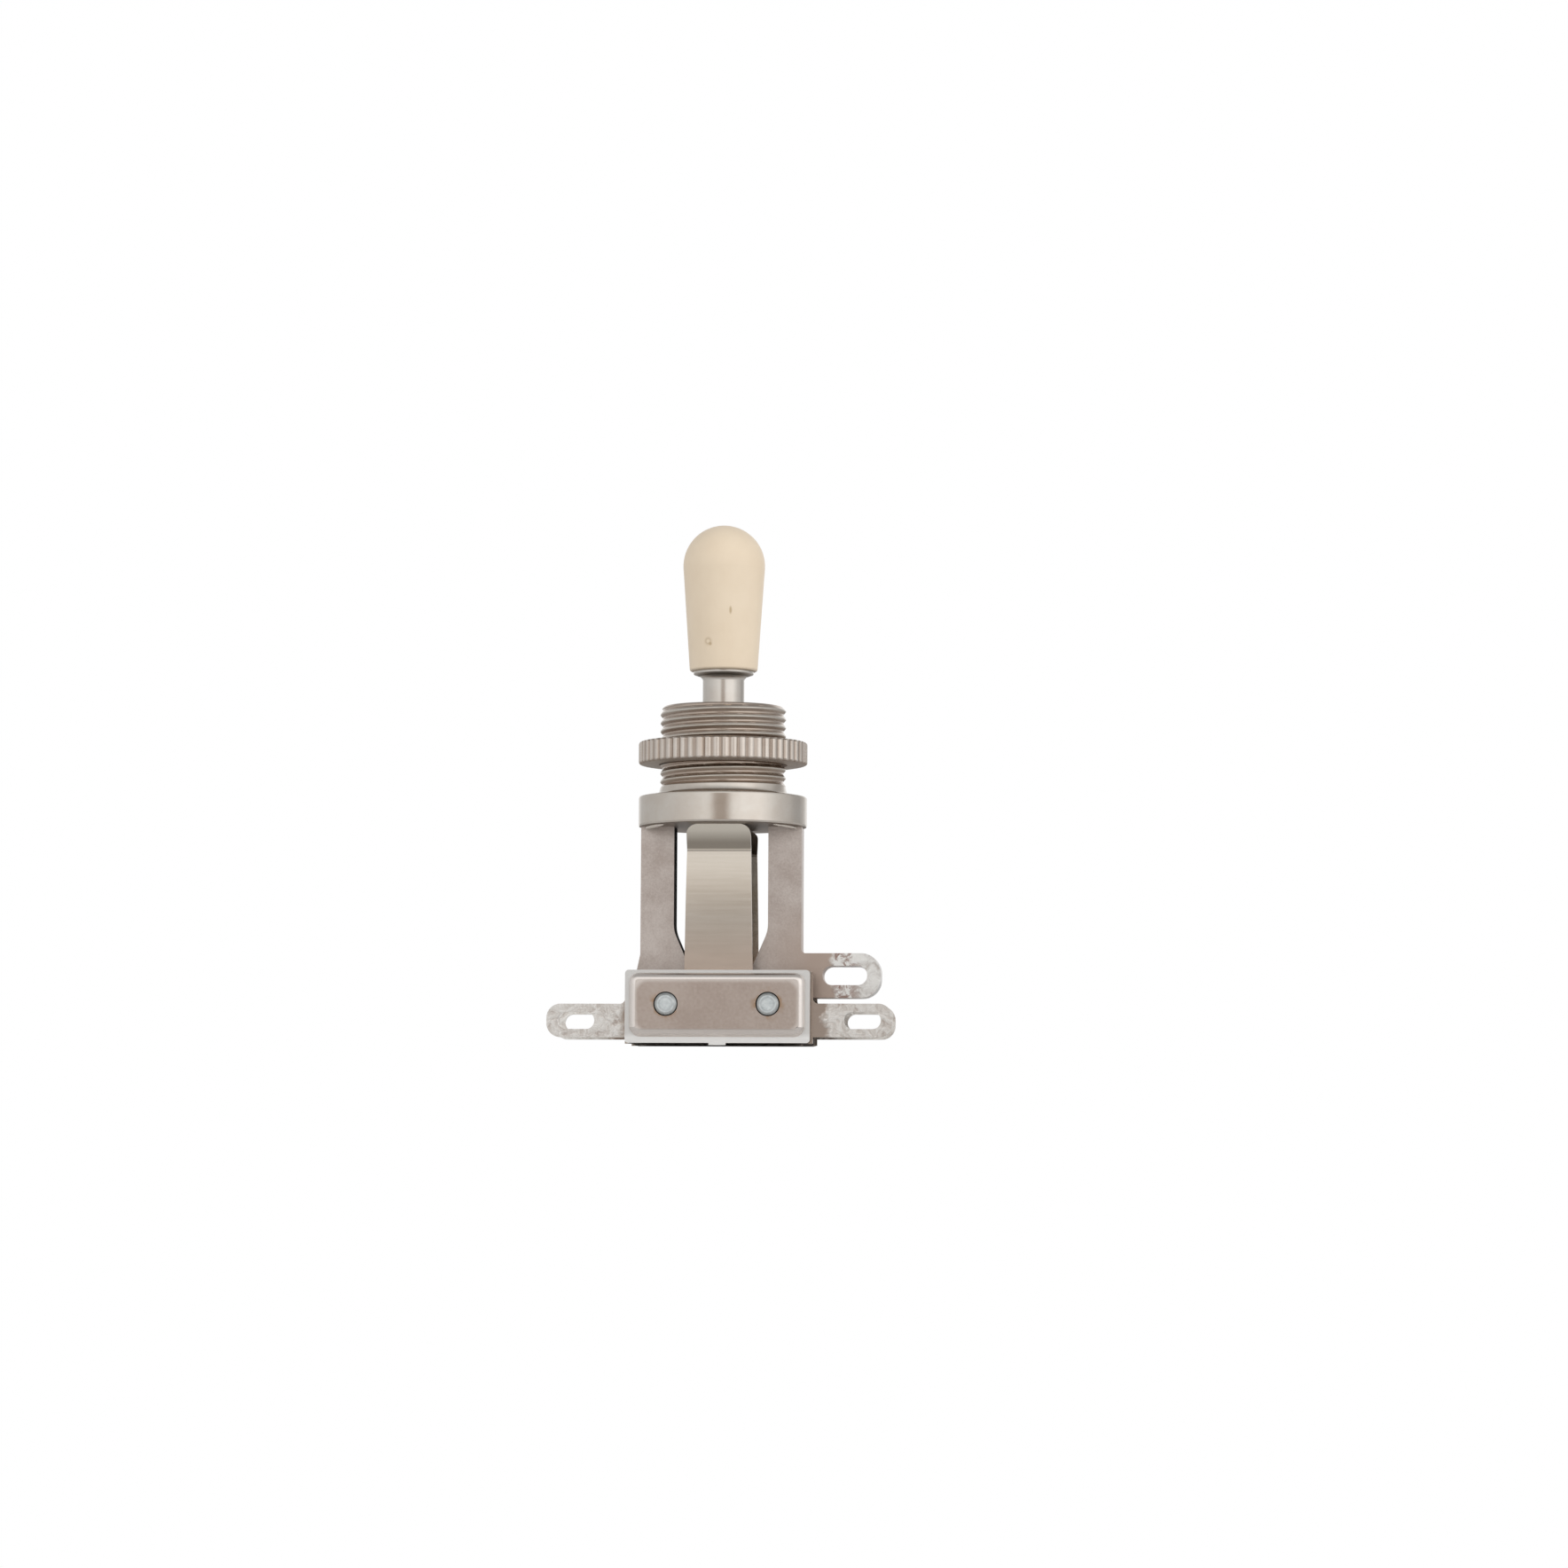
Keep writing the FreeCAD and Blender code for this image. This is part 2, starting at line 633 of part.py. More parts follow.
def make_frame():
    """Stamped frame: two legs staked in the collar, a base that the stacks clamp, and the earth lug."""
    body = new_body("frame")
    wide = leg_outside + size("flare_width")
    base_bottom = stack_bottom - size("base_below_stack")
    step = base_bottom + size("base_step_rise")
    earth_top = stack_top + size("earth_lug_rise")
    earth_bottom = earth_top - size("earth_lug_width")
    earth_reach = leg_outside + size("earth_lug_length")
    window_foot = stack_top + size("window_above_stack")
    narrow = window_half - size("window_narrowing")
    outline = new_sketch(body, "frame_outline", "XZ_Plane")
    right = [
        (leg_outside, base_bottom),
        (leg_outside, step - size("flare_width")),
        (wide, step),
        (wide, stack_top),
        (leg_outside, earth_top - size("flare_below_lug")),
        (leg_outside, collar_underside),
        (tenon_outside, collar_underside),
        (tenon_outside, collar_underside + size("tenon_height")),
        (tenon_inside, collar_underside + size("tenon_height")),
        (tenon_inside, collar_underside),
        (window_half, collar_underside),
        (window_half, window_foot + size("window_taper")),
        (narrow, window_foot),
    ]
    left = [(-across, up) for across, up in reversed(right)]
    draw_outline(outline, right + left)
    add_pad(body, outline, size("frame_thickness"), both_ways=True)
    corners = [(window_half * side, window_foot + size("window_taper")) for side in (1, -1)]
    round_along(body, 1, corners, size("window_corner"))
    corners = [(narrow * side, window_foot) for side in (1, -1)]
    round_along(body, 1, corners, size("window_foot_corner"))

    lug = new_sketch(body, "earth_lug", "XZ_Plane")
    draw_box(lug, leg_outside - size("leg_width") / 2, earth_reach, earth_bottom, earth_top)
    add_pad(body, lug, size("frame_thickness"), both_ways=True)
    ends = [(earth_reach, earth_top), (earth_reach, earth_bottom)]
    round_along(body, 1, ends, size("earth_lug_corner"))
    round_along(body, 1, [(leg_outside, earth_top)], size("earth_lug_fillet"))
    slot = new_sketch(body, "earth_slot", "XZ_Plane")
    slot_middle = earth_reach - size("earth_slot_rim") - size("earth_slot_length") / 2
    draw_slot(
        slot,
        slot_middle,
        (earth_top + earth_bottom) / 2,
        size("earth_slot_length"),
        size("earth_slot_width"),
    )
    cut_pocket(body, slot, size("frame_thickness") * 2)
    holes = new_sketch(body, "frame_holes", "XZ_Plane")
    draw_screw_holes(holes, sleeve_hole)
    cut_pocket(body, holes, size("frame_thickness") * 2)
    return body


def make_sheet(label, near, thickness, turn):
    """One insulating sheet of a stack."""
    body = new_body(label, turn)
    outline = new_sketch(body, label + "_outline", "XZ_Plane", near)
    draw_box(outline, -half_stack, half_stack, stack_bottom, stack_top)
    add_pad(body, outline, thickness)
    corners = [(half_stack * side, level) for side in (1, -1) for level in (stack_top, stack_bottom)]
    round_along(body, 1, corners, size("sheet_corner"))
    holes = new_sketch(body, label + "_holes", "XZ_Plane")
    draw_screw_holes(holes, sleeve_hole)
    cut_pocket(body, holes, plate_front * 3)
    return body


def leaf_outline(sketch, blade_tip, blade_root, blade_top, bend, side):
    """Front view of a leaf: blade, clamped root and solder lug, with the lug to one side."""
    neck = half_stack + size("lug_neck")
    chamfer = size("lug_neck_chamfer")
    corners = [
        (-half_stack, stack_top),
        (-half_stack, stack_bottom),
        (neck, stack_bottom),
        (neck, lug_bottom),
        (lug_reach, lug_bottom),
        (lug_reach, lug_top),
        (neck, lug_top),
        (neck, stack_top - chamfer),
        (neck - chamfer, stack_top),
        (blade_root, stack_top),
        (blade_tip, bend),
        (blade_tip, blade_top),
        (-blade_tip, blade_top),
        (-blade_tip, bend),
        (-blade_root, stack_top),
    ]
    draw_outline(sketch, [(across * side, up) for across, up in corners])


def finish_leaf(body, label, side):
    """Round the lug and cut its wire slot and the stack's two holes."""
    neck = half_stack + size("lug_neck")
    ends = [(lug_reach * side, lug_top), (lug_reach * side, lug_bottom)]
    round_along(body, 1, ends, size("lug_corner"))
    round_along(body, 1, [(neck * side, lug_top)], size("lug_fillet"))
    cuts = new_sketch(body, label + "_holes", "XZ_Plane")
    slot_middle = lug_reach - size("lug_rim") - size("lug_slot_length") / 2
    draw_slot(
        cuts,
        slot_middle * side,
        (lug_top + lug_bottom) / 2,
        size("lug_slot_length"),
        size("lug_slot_width"),
    )
    draw_screw_holes(cuts, sleeve_hole)
    cut_pocket(body, cuts, plate_front * 3)


def tip_edges(body, thickness, bend, places):
    """Names of the edges through a leaf's turned-out end, above the bend and at places across it."""
    return [
        f"Edge{number}"
        for number, edge in enumerate(local_shape(body).Edges, start=1)
        if abs(edge.Length - thickness.number) < 1e-3
        and any(abs(abs(edge.CenterOfMass.x) - place.number) < 1e-3 for place in places)
        and edge.CenterOfMass.z > bend.number
    ]


def make_long_leaf(label, turn):
    """Spring leaf that the cam pushes: its end is turned outwards, and its lug leaves on the right."""
    body = new_body(label, turn)
    thickness = size("leaf_thickness")
    angle = size("blade_flare_angle")
    bend = -size("blade_bend_drop")
    top = bend + size("blade_flare_height")
    out = size("blade_flare_height") * trig("tan", angle)
    inner = -long_leaf_near
    outer = inner - thickness
    outer_bend = bend - thickness * trig("tan", angle / 2)
    strip = new_sketch(body, label + "_strip", "YZ_Plane")
    draw_outline(
        strip,
        [
            (inner, stack_bottom),
            (inner, bend),
            (inner - out, top),
            (inner - out - thickness * trig("cos", angle), top - thickness * trig("sin", angle)),
            (outer, outer_bend),
            (outer, stack_bottom),
        ],
    )
    add_pad(body, strip, lug_reach * 2, both_ways=True)
    round_along(body, 0, [(inner, bend)], size("bend_radius") + thickness)
    round_along(body, 0, [(outer, outer_bend)], size("bend_radius"))
    edge = new_sketch(body, label + "_outline", "XZ_Plane")
    leaf_outline(
        edge, size("blade_tip_width") / 2, size("blade_root_width") / 2, top + thickness, bend, 1
    )
    margin = size("leaf_thickness") * 4
    outside = lug_reach + margin
    draw_box(edge, -outside, outside, stack_bottom - margin, top + margin)
    cut_pocket(body, edge, plate_front * 3)
    half_tip = size("blade_tip_width") / 2
    corners = tip_edges(body, thickness, bend, [half_tip])
    dress(body, "Chamfer", "Size", body.Tip, corners, size("blade_corner"))
    corners = tip_edges(body, thickness, bend, [half_tip, half_tip - size("blade_corner")])
    dress(body, "Fillet", "Radius", body.Tip, corners, size("blade_corner_rounding"))
    finish_leaf(body, label, 1)
    return body


def make_short_leaf(label, turn):
    """Straight leaf that carries the fixed contact, with its lug on the left."""
    body = new_body(label, turn)
    half = size("short_blade_width") / 2
    top = -size("short_blade_drop")
    bend = (top + stack_top) / 2
    outline = new_sketch(body, label + "_outline", "XZ_Plane", short_leaf_near)
    leaf_outline(outline, half, half, top, bend, -1)
    add_pad(body, outline, size("leaf_thickness"))
    round_along(body, 1, [(half, top), (-half, top)], size("short_blade_corner"))
    finish_leaf(body, label, -1)
    return body


def make_contact(label, near, thickness, turn, faces_out):
    """Contact button welded to a leaf, half as thick as the gap between the leaves."""
    body = new_body(label, turn)
    button = new_sketch(body, label + "_button", "XZ_Plane", near)
    draw_circle(button, 0, contact_level, size("contact_radius"))
    add_pad(body, button, thickness)
    face = -(near + thickness) if faces_out else -near
    rim = level_edges(local_shape(body), face)
    dress(body, "Chamfer", "Size", body.Tip, rim, size("contact_edge"))
    return body


def make_clamp_plate(label, turn):
    """Drawn clamp plate: flat rim, raised panel hollow behind, two screw holes, a nib below in front."""
    body = new_body(label, turn)
    half = half_stack
    nib = size("nib_width") / 2
    nib_bottom = stack_bottom - size("nib_height")
    below = [(-nib, stack_bottom), (-nib, nib_bottom), (nib, nib_bottom), (nib, stack_bottom)]
    rim = new_sketch(body, label + "_rim", "XZ_Plane", plate_near)
    draw_outline(
        rim,
        [
            (-half, stack_bottom),
            *(below if turn == FRONT else []),
            (half, stack_bottom),
            (half, stack_top),
            (-half, stack_top),
        ],
    )
    add_pad(body, rim, size("plate_thickness"))
    corners = [(half * side, level) for side in (1, -1) for level in (stack_top, stack_bottom)]
    round_along(body, 1, corners, size("sheet_corner"))

    inset = size("panel_rim")
    left, right = -half + inset, half - inset
    bottom, top = stack_bottom + inset, stack_top - inset
    panel = new_sketch(body, label + "_panel", "XZ_Plane", plate_near)
    draw_box(panel, left, right, bottom, top)
    add_pad(body, panel, size("plate_thickness") + size("panel_rise"))
    round_along(body, 1, [(a, u) for a in (left, right) for u in (bottom, top)], size("panel_corner"))
    front = level_edges(local_shape(body), -plate_front)
    dress(body, "Fillet", "Radius", body.Tip, front, size("panel_edge"))

    wall = size("plate_thickness")
    hollow = new_sketch(body, label + "_hollow", "XZ_Plane", plate_near)
    draw_box(hollow, left + wall, right - wall, bottom + wall, top - wall)
    cut_pocket(body, hollow, size("panel_rise"), both_ways=False, backwards=True)
    holes = new_sketch(body, label + "_holes", "XZ_Plane")
    draw_screw_holes(holes, size("screw_hole_radius"))
    cut_pocket(body, holes, plate_front * 3)
    return body


def lying_cylinder(name, radius, length, across, start):
    """Cylinder from depth start along +Y, at the screws' level."""
    cylinder = doc.addObject("Part::Cylinder", name)
    cylinder.Placement = FreeCAD.Placement(
        FreeCAD.Vector(0, 0, 0), FreeCAD.Rotation(FreeCAD.Vector(1, 0, 0), -90)
    )
    bind(cylinder, "Radius", radius)
    bind(cylinder, "Height", length)
    bind(cylinder, "Placement.Base.x", across)
    bind(cylinder, "Placement.Base.y", start)
    bind(cylinder, "Placement.Base.z", screw_level - size("seat_height"))
    return cylinder


def dress_end(name, kind, base, level, amount):
    """A fillet or chamfer on the ring of edges at one depth of a solid."""
    doc.recompute()
    names = level_edges(base.Shape, level)
    feature = doc.addObject(f"Part::{kind}", name)
    feature.Base = base
    feature.Edges = [(int(edge.replace("Edge", "")), amount.number, amount.number) for edge in names]
    return feature


def make_screw(name, across):
    """Slotted screw put in from the rear, its end just proud of the front plate."""
    front = -plate_front - size("screw_proud")
    shank = lying_cylinder(name + "_shank", size("screw_radius"), plate_front - front, across, front)
    pointed = dress_end(name + "_point", "Chamfer", shank, front, size("screw_point"))
    head = lying_cylinder(name + "_head", size("head_radius"), size("head_height"), across, plate_front)
    back = plate_front + size("head_height")
    domed = dress_end(name + "_dome", "Fillet", head, back, size("head_edge"))
    slot = doc.addObject("Part::Box", name + "_slot")
    bind(slot, "Length", size("head_radius") * 3)
    bind(slot, "Width", size("head_slot_depth") * 2)
    bind(slot, "Height", size("head_slot_width"))
    bind(slot, "Placement.Base.x", across - size("head_radius") * 1.5)
    bind(slot, "Placement.Base.y", back - size("head_slot_depth"))
    bind(slot, "Placement.Base.z", screw_level - size("seat_height") - size("head_slot_width") / 2)
    slotted = doc.addObject("Part::Cut", name + "_slotted")
    slotted.Base = domed
    slotted.Tool = slot
    screw = doc.addObject("Part::Fuse", name)
    screw.Base = pointed
    screw.Tool = slotted
    return screw


def make_sleeve(name, across):
    """Insulating tube round a screw, from one clamp plate's panel to the other's."""
    start = -panel_back
    outside = lying_cylinder(name + "_outside", size("sleeve_radius"), panel_back * 2, across, start)
    inside = lying_cylinder(name + "_inside", size("screw_hole_radius"), panel_back * 2, across, start)
    sleeve = doc.addObject("Part::Cut", name)
    sleeve.Base = outside
    sleeve.Tool = inside
    return sleeve


def make_pair(label, maker):
    """Both copies of a fastener as one group of separate solids."""
    pair = doc.addObject("Part::Compound", label)
    pair.Label = label
    pair.Links = [maker(label + "_left", -screw_x), maker(label + "_right", screw_x)]
    doc.recompute()
    return pair


pieces = [
    make_bushing(),
    make_mounting_nut(),
    make_tip(),
    make_lever(),
    make_pivot_pin(),
    make_cam(),
    make_frame(),
]
button = size("middle_sheet") / 2
for turn, side in ((FRONT, "front"), (REAR, "rear")):
    pieces += [
        make_sheet(f"{side}_inner_insulator", half_frame, size("inner_sheet"), turn),
        make_short_leaf(f"{side}_short_leaf", turn),
        make_sheet(f"{side}_middle_insulator", middle_near, size("middle_sheet"), turn),
        make_long_leaf(f"{side}_long_leaf", turn),
        make_sheet(f"{side}_outer_insulator", outer_near, size("outer_sheet"), turn),
        make_clamp_plate(f"{side}_clamp_plate", turn),
        make_contact(f"{side}_fixed_contact", middle_near, button, turn, faces_out=True),
        make_contact(f"{side}_moving_contact", middle_near + button, button, turn, faces_out=False),
    ]
pieces.append(make_pair("clamp_screws", make_screw))
pieces.append(make_pair("screw_sleeves", make_sleeve))
doc.recompute()

for thing in doc.Objects:
    if "Invalid" in thing.State or "Error" in thing.State:
        raise ValueError(f"{thing.Label} failed: {thing.State}")
for piece in pieces:
    if piece.Shape.isNull() or not piece.Shape.isValid():
        raise ValueError(f"{piece.Label} has no valid shape")

os.makedirs("parts", exist_ok=True)
for piece in pieces:
    piece.Shape.exportStep(f"parts/{piece.Label}.step")
    box = piece.Shape.BoundBox
    print(
        f"{piece.Label}: {len(piece.Shape.Solids)} solid(s), {piece.Shape.Volume:.2f} mm3, "
        f"z {box.ZMin:.2f} to {box.ZMax:.2f}"
    )
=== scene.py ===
import math

import bmesh
import bpy
from mathutils import Matrix, Vector


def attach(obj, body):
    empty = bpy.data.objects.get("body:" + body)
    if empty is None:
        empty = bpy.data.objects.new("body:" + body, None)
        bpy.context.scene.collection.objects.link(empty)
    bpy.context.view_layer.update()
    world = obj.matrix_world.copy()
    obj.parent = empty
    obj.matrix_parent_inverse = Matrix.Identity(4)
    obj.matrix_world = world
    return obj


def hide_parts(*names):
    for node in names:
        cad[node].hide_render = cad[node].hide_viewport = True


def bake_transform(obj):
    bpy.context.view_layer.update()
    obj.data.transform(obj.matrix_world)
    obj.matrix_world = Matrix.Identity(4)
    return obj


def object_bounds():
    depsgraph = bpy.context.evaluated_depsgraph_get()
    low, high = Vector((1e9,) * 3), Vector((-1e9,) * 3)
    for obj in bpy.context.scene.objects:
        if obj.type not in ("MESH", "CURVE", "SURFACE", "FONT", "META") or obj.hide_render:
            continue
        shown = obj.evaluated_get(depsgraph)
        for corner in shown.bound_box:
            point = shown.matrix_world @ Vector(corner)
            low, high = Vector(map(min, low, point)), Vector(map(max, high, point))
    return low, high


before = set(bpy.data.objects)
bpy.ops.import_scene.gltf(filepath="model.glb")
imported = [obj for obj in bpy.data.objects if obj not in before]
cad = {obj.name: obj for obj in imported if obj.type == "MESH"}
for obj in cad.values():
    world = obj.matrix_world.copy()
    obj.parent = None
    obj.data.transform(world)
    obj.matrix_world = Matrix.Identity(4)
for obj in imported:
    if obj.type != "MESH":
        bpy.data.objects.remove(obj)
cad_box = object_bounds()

# Bushing
# Turned brass, nickel plated: threaded neck, sloping shoulder and plain collar.
# Its thread is cut at 32 turns an inch, and it stops under the nut as the solid does.

MM = 0.001


def add_node(tree, kind, inputs=None, stops=None, **settings):
    """Add a node with its settings. An input takes a value, or the socket that it is linked from."""
    node = tree.nodes.new("ShaderNode" + kind)
    for name, value in settings.items():
        setattr(node, name, value)
    for name, value in (inputs or {}).items():
        if isinstance(value, bpy.types.NodeSocket):
            tree.links.new(value, node.inputs[name])
        else:
            node.inputs[name].default_value = value
    if stops:
        elements = node.color_ramp.elements
        while len(elements) < len(stops):
            elements.new(1.0)
        for element, (place, colour) in zip(elements, stops):
            element.position = place
            element.color = colour
    return node


def hex_colour(text):
    """An sRGB hex value as the linear colour that Blender's sockets take."""
    channels = [int(text[n:n + 2], 16) / 255 for n in (1, 3, 5)]
    linear = [c / 12.92 if c <= 0.04045 else ((c + 0.055) / 1.055) ** 2.4 for c in channels]
    return (*linear, 1.0)


def grey(value):
    return (value, value, value, 1.0)


def pattern_scale(millimetres):
    """The scale of a noise texture whose features are this long."""
    return 1 / (millimetres * MM)


def new_material(name):
    material = bpy.data.materials.new(name)
    material.use_nodes = True
    material.node_tree.nodes.clear()
    return material


def finish_material(material, shader):
    add_node(material.node_tree, "OutputMaterial", {"Surface": shader.outputs[0]})


def make_object(name, points, faces, material, sharp=35):
    """A mesh from points in millimetres, smooth up to the sharp angle in degrees."""
    mesh = bpy.data.meshes.new(name)
    mesh.from_pydata([Vector(p) * MM for p in points], [], faces)
    mesh.update()
    mesh.shade_smooth()
    mesh.set_sharp_from_angle(angle=math.radians(sharp))
    mesh.materials.append(material)
    piece = bpy.data.objects.new(name, mesh)
    bpy.context.scene.collection.objects.link(piece)
    return piece


def turned_rings(name, rings, steps, material, sharp=35, lift=0.0, hollow=True):
    """A turned solid. Each ring is a function of the angle that gives its radius and height. The last
    ring joins the first in a hollow piece, and a solid one has a flat face at each end."""
    points = []
    for ring in rings:
        for step in range(steps):
            angle = 2 * math.pi * step / steps
            radius, height = ring(angle)
            points.append((radius * math.cos(angle), radius * math.sin(angle), height + lift))
    faces = []
    if not hollow:
        faces.append(tuple(reversed(range(steps))))
        faces.append(tuple(range((len(rings) - 1) * steps, len(rings) * steps)))
    for number in range(len(rings) if hollow else len(rings) - 1):
        after = (number + 1) % len(rings)
        for step in range(steps):
            beside = (step + 1) % steps
            faces.append(
                (number * steps + step, number * steps + beside, after * steps + beside, after * steps + step)
            )
    return make_object(name, points, faces, material, sharp)


def plain_ring(radius, height):
    return lambda angle: (radius, height)


def turned_nickel(name, base, recess_shade, recess_radius, roughness, under_shade):
    """Nickel plate over turned brass. The tool's rings show as fine lines round the axis. The plate is
    painted darker and browner in the thread and knurl as painted shade, and in a shade colour on faces that
    look downwards."""
    material = new_material(name)
    tree = material.node_tree
    spot = add_node(tree, "TexCoord").outputs["Object"]
    parts = add_node(tree, "SeparateXYZ", {0: spot})
    flat = add_node(tree, "CombineXYZ", {"X": parts.outputs["X"], "Y": parts.outputs["Y"]})
    radius = add_node(tree, "VectorMath", {0: flat.outputs[0]}, operation="LENGTH")
    # Tool marks 0.15 mm apart: the real ones are finer, and are drawn as coarse as they show.
    line = add_node(tree, "CombineXYZ", {"X": radius.outputs["Value"], "Y": parts.outputs["Z"]})
    marks = add_node(
        tree,
        "TexNoise",
        {"Vector": line.outputs[0], "Scale": pattern_scale(0.154), "Detail": 3, "Roughness": 0.7},
    )
    drift = add_node(
        tree, "TexNoise", {"Vector": spot, "Scale": pattern_scale(3.03), "Detail": 4, "Roughness": 0.6}
    )
    # Inside the recess radius the colour turns to the second one: painted shade in the thread and knurl.
    outside_recess_shade = add_node(
        tree,
        "MapRange",
        {
            "Value": radius.outputs["Value"],
            "From Min": (recess_radius - 0.12) * MM,
            "From Max": (recess_radius - 0.02) * MM,
        },
        interpolation_type="SMOOTHSTEP",
    )
    recess_shaded = add_node(
        tree,
        "Mix",
        {"Factor": outside_recess_shade.outputs[0], "A": hex_colour(recess_shade), "B": hex_colour(base)},
        data_type="RGBA",
    )
    patchy = add_node(
        tree,
        "ValToRGB",
        {"Fac": drift.outputs["Fac"]},
        stops=[(0.35, hex_colour("#F5F1EE")), (0.65, grey(1.0))],
    )
    shaded_and_patchy = add_node(
        tree,
        "Mix",
        {"Factor": 1.0, "A": recess_shaded.outputs["Result"], "B": patchy.outputs["Color"]},
        data_type="RGBA",
        blend_type="MULTIPLY",
    )
    # Faces that look downwards take the last colour: painted shade underneath.
    facing = add_node(tree, "SeparateXYZ", {0: add_node(tree, "NewGeometry").outputs["Normal"]})
    below = add_node(
        tree, "MapRange", {"Value": facing.outputs["Z"], "From Min": -0.85, "From Max": -0.97}
    )
    colour = add_node(
        tree,
        "Mix",
        {"Factor": below.outputs[0], "A": shaded_and_patchy.outputs["Result"], "B": hex_colour(under_shade)},
        data_type="RGBA",
    )
    gloss = add_node(
        tree,
        "MapRange",
        {"Value": drift.outputs["Fac"], "To Min": roughness - 0.03, "To Max": roughness + 0.04},
    )
    # The form tool leaves the faces that lean downwards rougher than the turned walls.
    leaning = add_node(
        tree,
        "MapRange",
        {"Value": facing.outputs["Z"], "From Min": -0.3, "From Max": -0.6, "To Max": 0.33},
    )
    rough = add_node(tree, "Math", {0: gloss.outputs[0], 1: leaning.outputs[0]}, operation="ADD")
    bump = add_node(
        tree, "Bump", {"Height": marks.outputs["Fac"], "Strength": 0.2, "Distance": 0.012 * MM}
    )
    shader = add_node(
        tree,
        "BsdfPrincipled",
        {
            "Base Color": colour.outputs["Result"],
            "Metallic": 1.0,
            "Roughness": rough.outputs[0],
            "Normal": bump.outputs[0],
        },
    )
    finish_material(material, shader)
    return material


collar_top = -5.17
collar_radius = 7.95
collar_height = 2.9
thread_radius = 5.93
thread_top = 8.5
thread_pitch = 0.794
thread_depth = 0.23
crest_share, flank_share = 0.12, 0.68
score_depth, score_turn, score_width = 0.035, 0.8, 0.06
runout_length = 0.3
thread_chamfer = 0.35
under_nut_radius = 5.6
wall_edge, edge_guard = 0.2, 0.03
lever_room = 2.32
pivot_height = -1.95
nut_zone = (2.96, 5.22)
neck_top = 0.83

# Its second colour is painted shade in the thread, and its last is painted shade on faces that look down.
bushing_nickel = turned_nickel(
    "nickel_plate_turned", "#DAD3CA", "#C2B4A8", thread_radius, 0.15, under_shade="#93877D"
)


def thread_ring(height):
    """One ring of the thread, a helix with flat crests, straight flanks, flat roots and a low ridge
    that the die has scored on one flank. The shares are of half a pitch."""

    def ring(angle):
        turn = (height / thread_pitch - angle / (2 * math.pi) + 0.25) % 1.0
        away = abs(turn - 0.5) * 2
        depth = thread_depth * min(1.0, max(0.0, (away - crest_share) / flank_share))
        depth -= score_depth * max(0.0, 1 - abs(turn - score_turn) / score_width)
        runout = min(1.0, max(0.0, (height - neck_top) / runout_length))
        radius = thread_radius - depth * runout
        radius = min(radius, thread_radius - max(0.0, height - thread_top + thread_chamfer))
        if nut_zone[0] <= height <= nut_zone[1]:
            radius = min(radius, under_nut_radius)
        return radius, height

    return ring


underside = -collar_height
spread = math.tan(math.radians(12))
edge_middle = 0.3 * wall_edge
shoulder_curve = ((6.45, 0.07), (6.27, 0.11), (6.13, 0.22), (6.04, 0.4))
# A ring just inside each rounded edge keeps the shading of the wall beside it flat.
bushing_rings = [
    plain_ring(lever_room + (pivot_height - underside) * spread, underside),
    plain_ring(collar_radius - wall_edge - edge_guard, underside),
    plain_ring(collar_radius - wall_edge, underside),
    plain_ring(collar_radius - edge_middle, underside + edge_middle),
    plain_ring(collar_radius, underside + wall_edge),
    plain_ring(collar_radius, underside + wall_edge + edge_guard),
    plain_ring(collar_radius, -wall_edge - edge_guard),
    plain_ring(collar_radius, -wall_edge),
    plain_ring(collar_radius - edge_middle, -edge_middle),
    plain_ring(collar_radius - wall_edge, 0.0),
]
bushing_rings += [plain_ring(radius, height) for radius, height in shoulder_curve]
bushing_rings.append(plain_ring(thread_radius, neck_top))
thread_rows = 200
for row in range(1, thread_rows + 1):
    bushing_rings.append(thread_ring(neck_top + (thread_top - neck_top) * row / thread_rows))
bushing_rings += [
    plain_ring(thread_radius - 0.4, thread_top),
    plain_ring(lever_room + (thread_top - pivot_height) * spread + 0.08, thread_top),
    plain_ring(lever_room + (thread_top - pivot_height) * spread, thread_top - 0.08),
    plain_ring(lever_room, pivot_height),
]
bushing = turned_rings("turned_bushing", bushing_rings, 288, bushing_nickel, sharp=40, lift=collar_top)
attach(bushing, "base")
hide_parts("bushing")

# The collar's metal is staked over the legs' shoulders, and stands in a lip at each front corner.
# Each lip is a thin bowed roll from lip_start, and the left one is the thicker.
lip_stations, lip_sides = 14, 10
lip_start, lip_run = (5.15, -5.0), (1.95, 2.95)
lip_outward = (0.82, -0.57)
lip_drop = 0.14
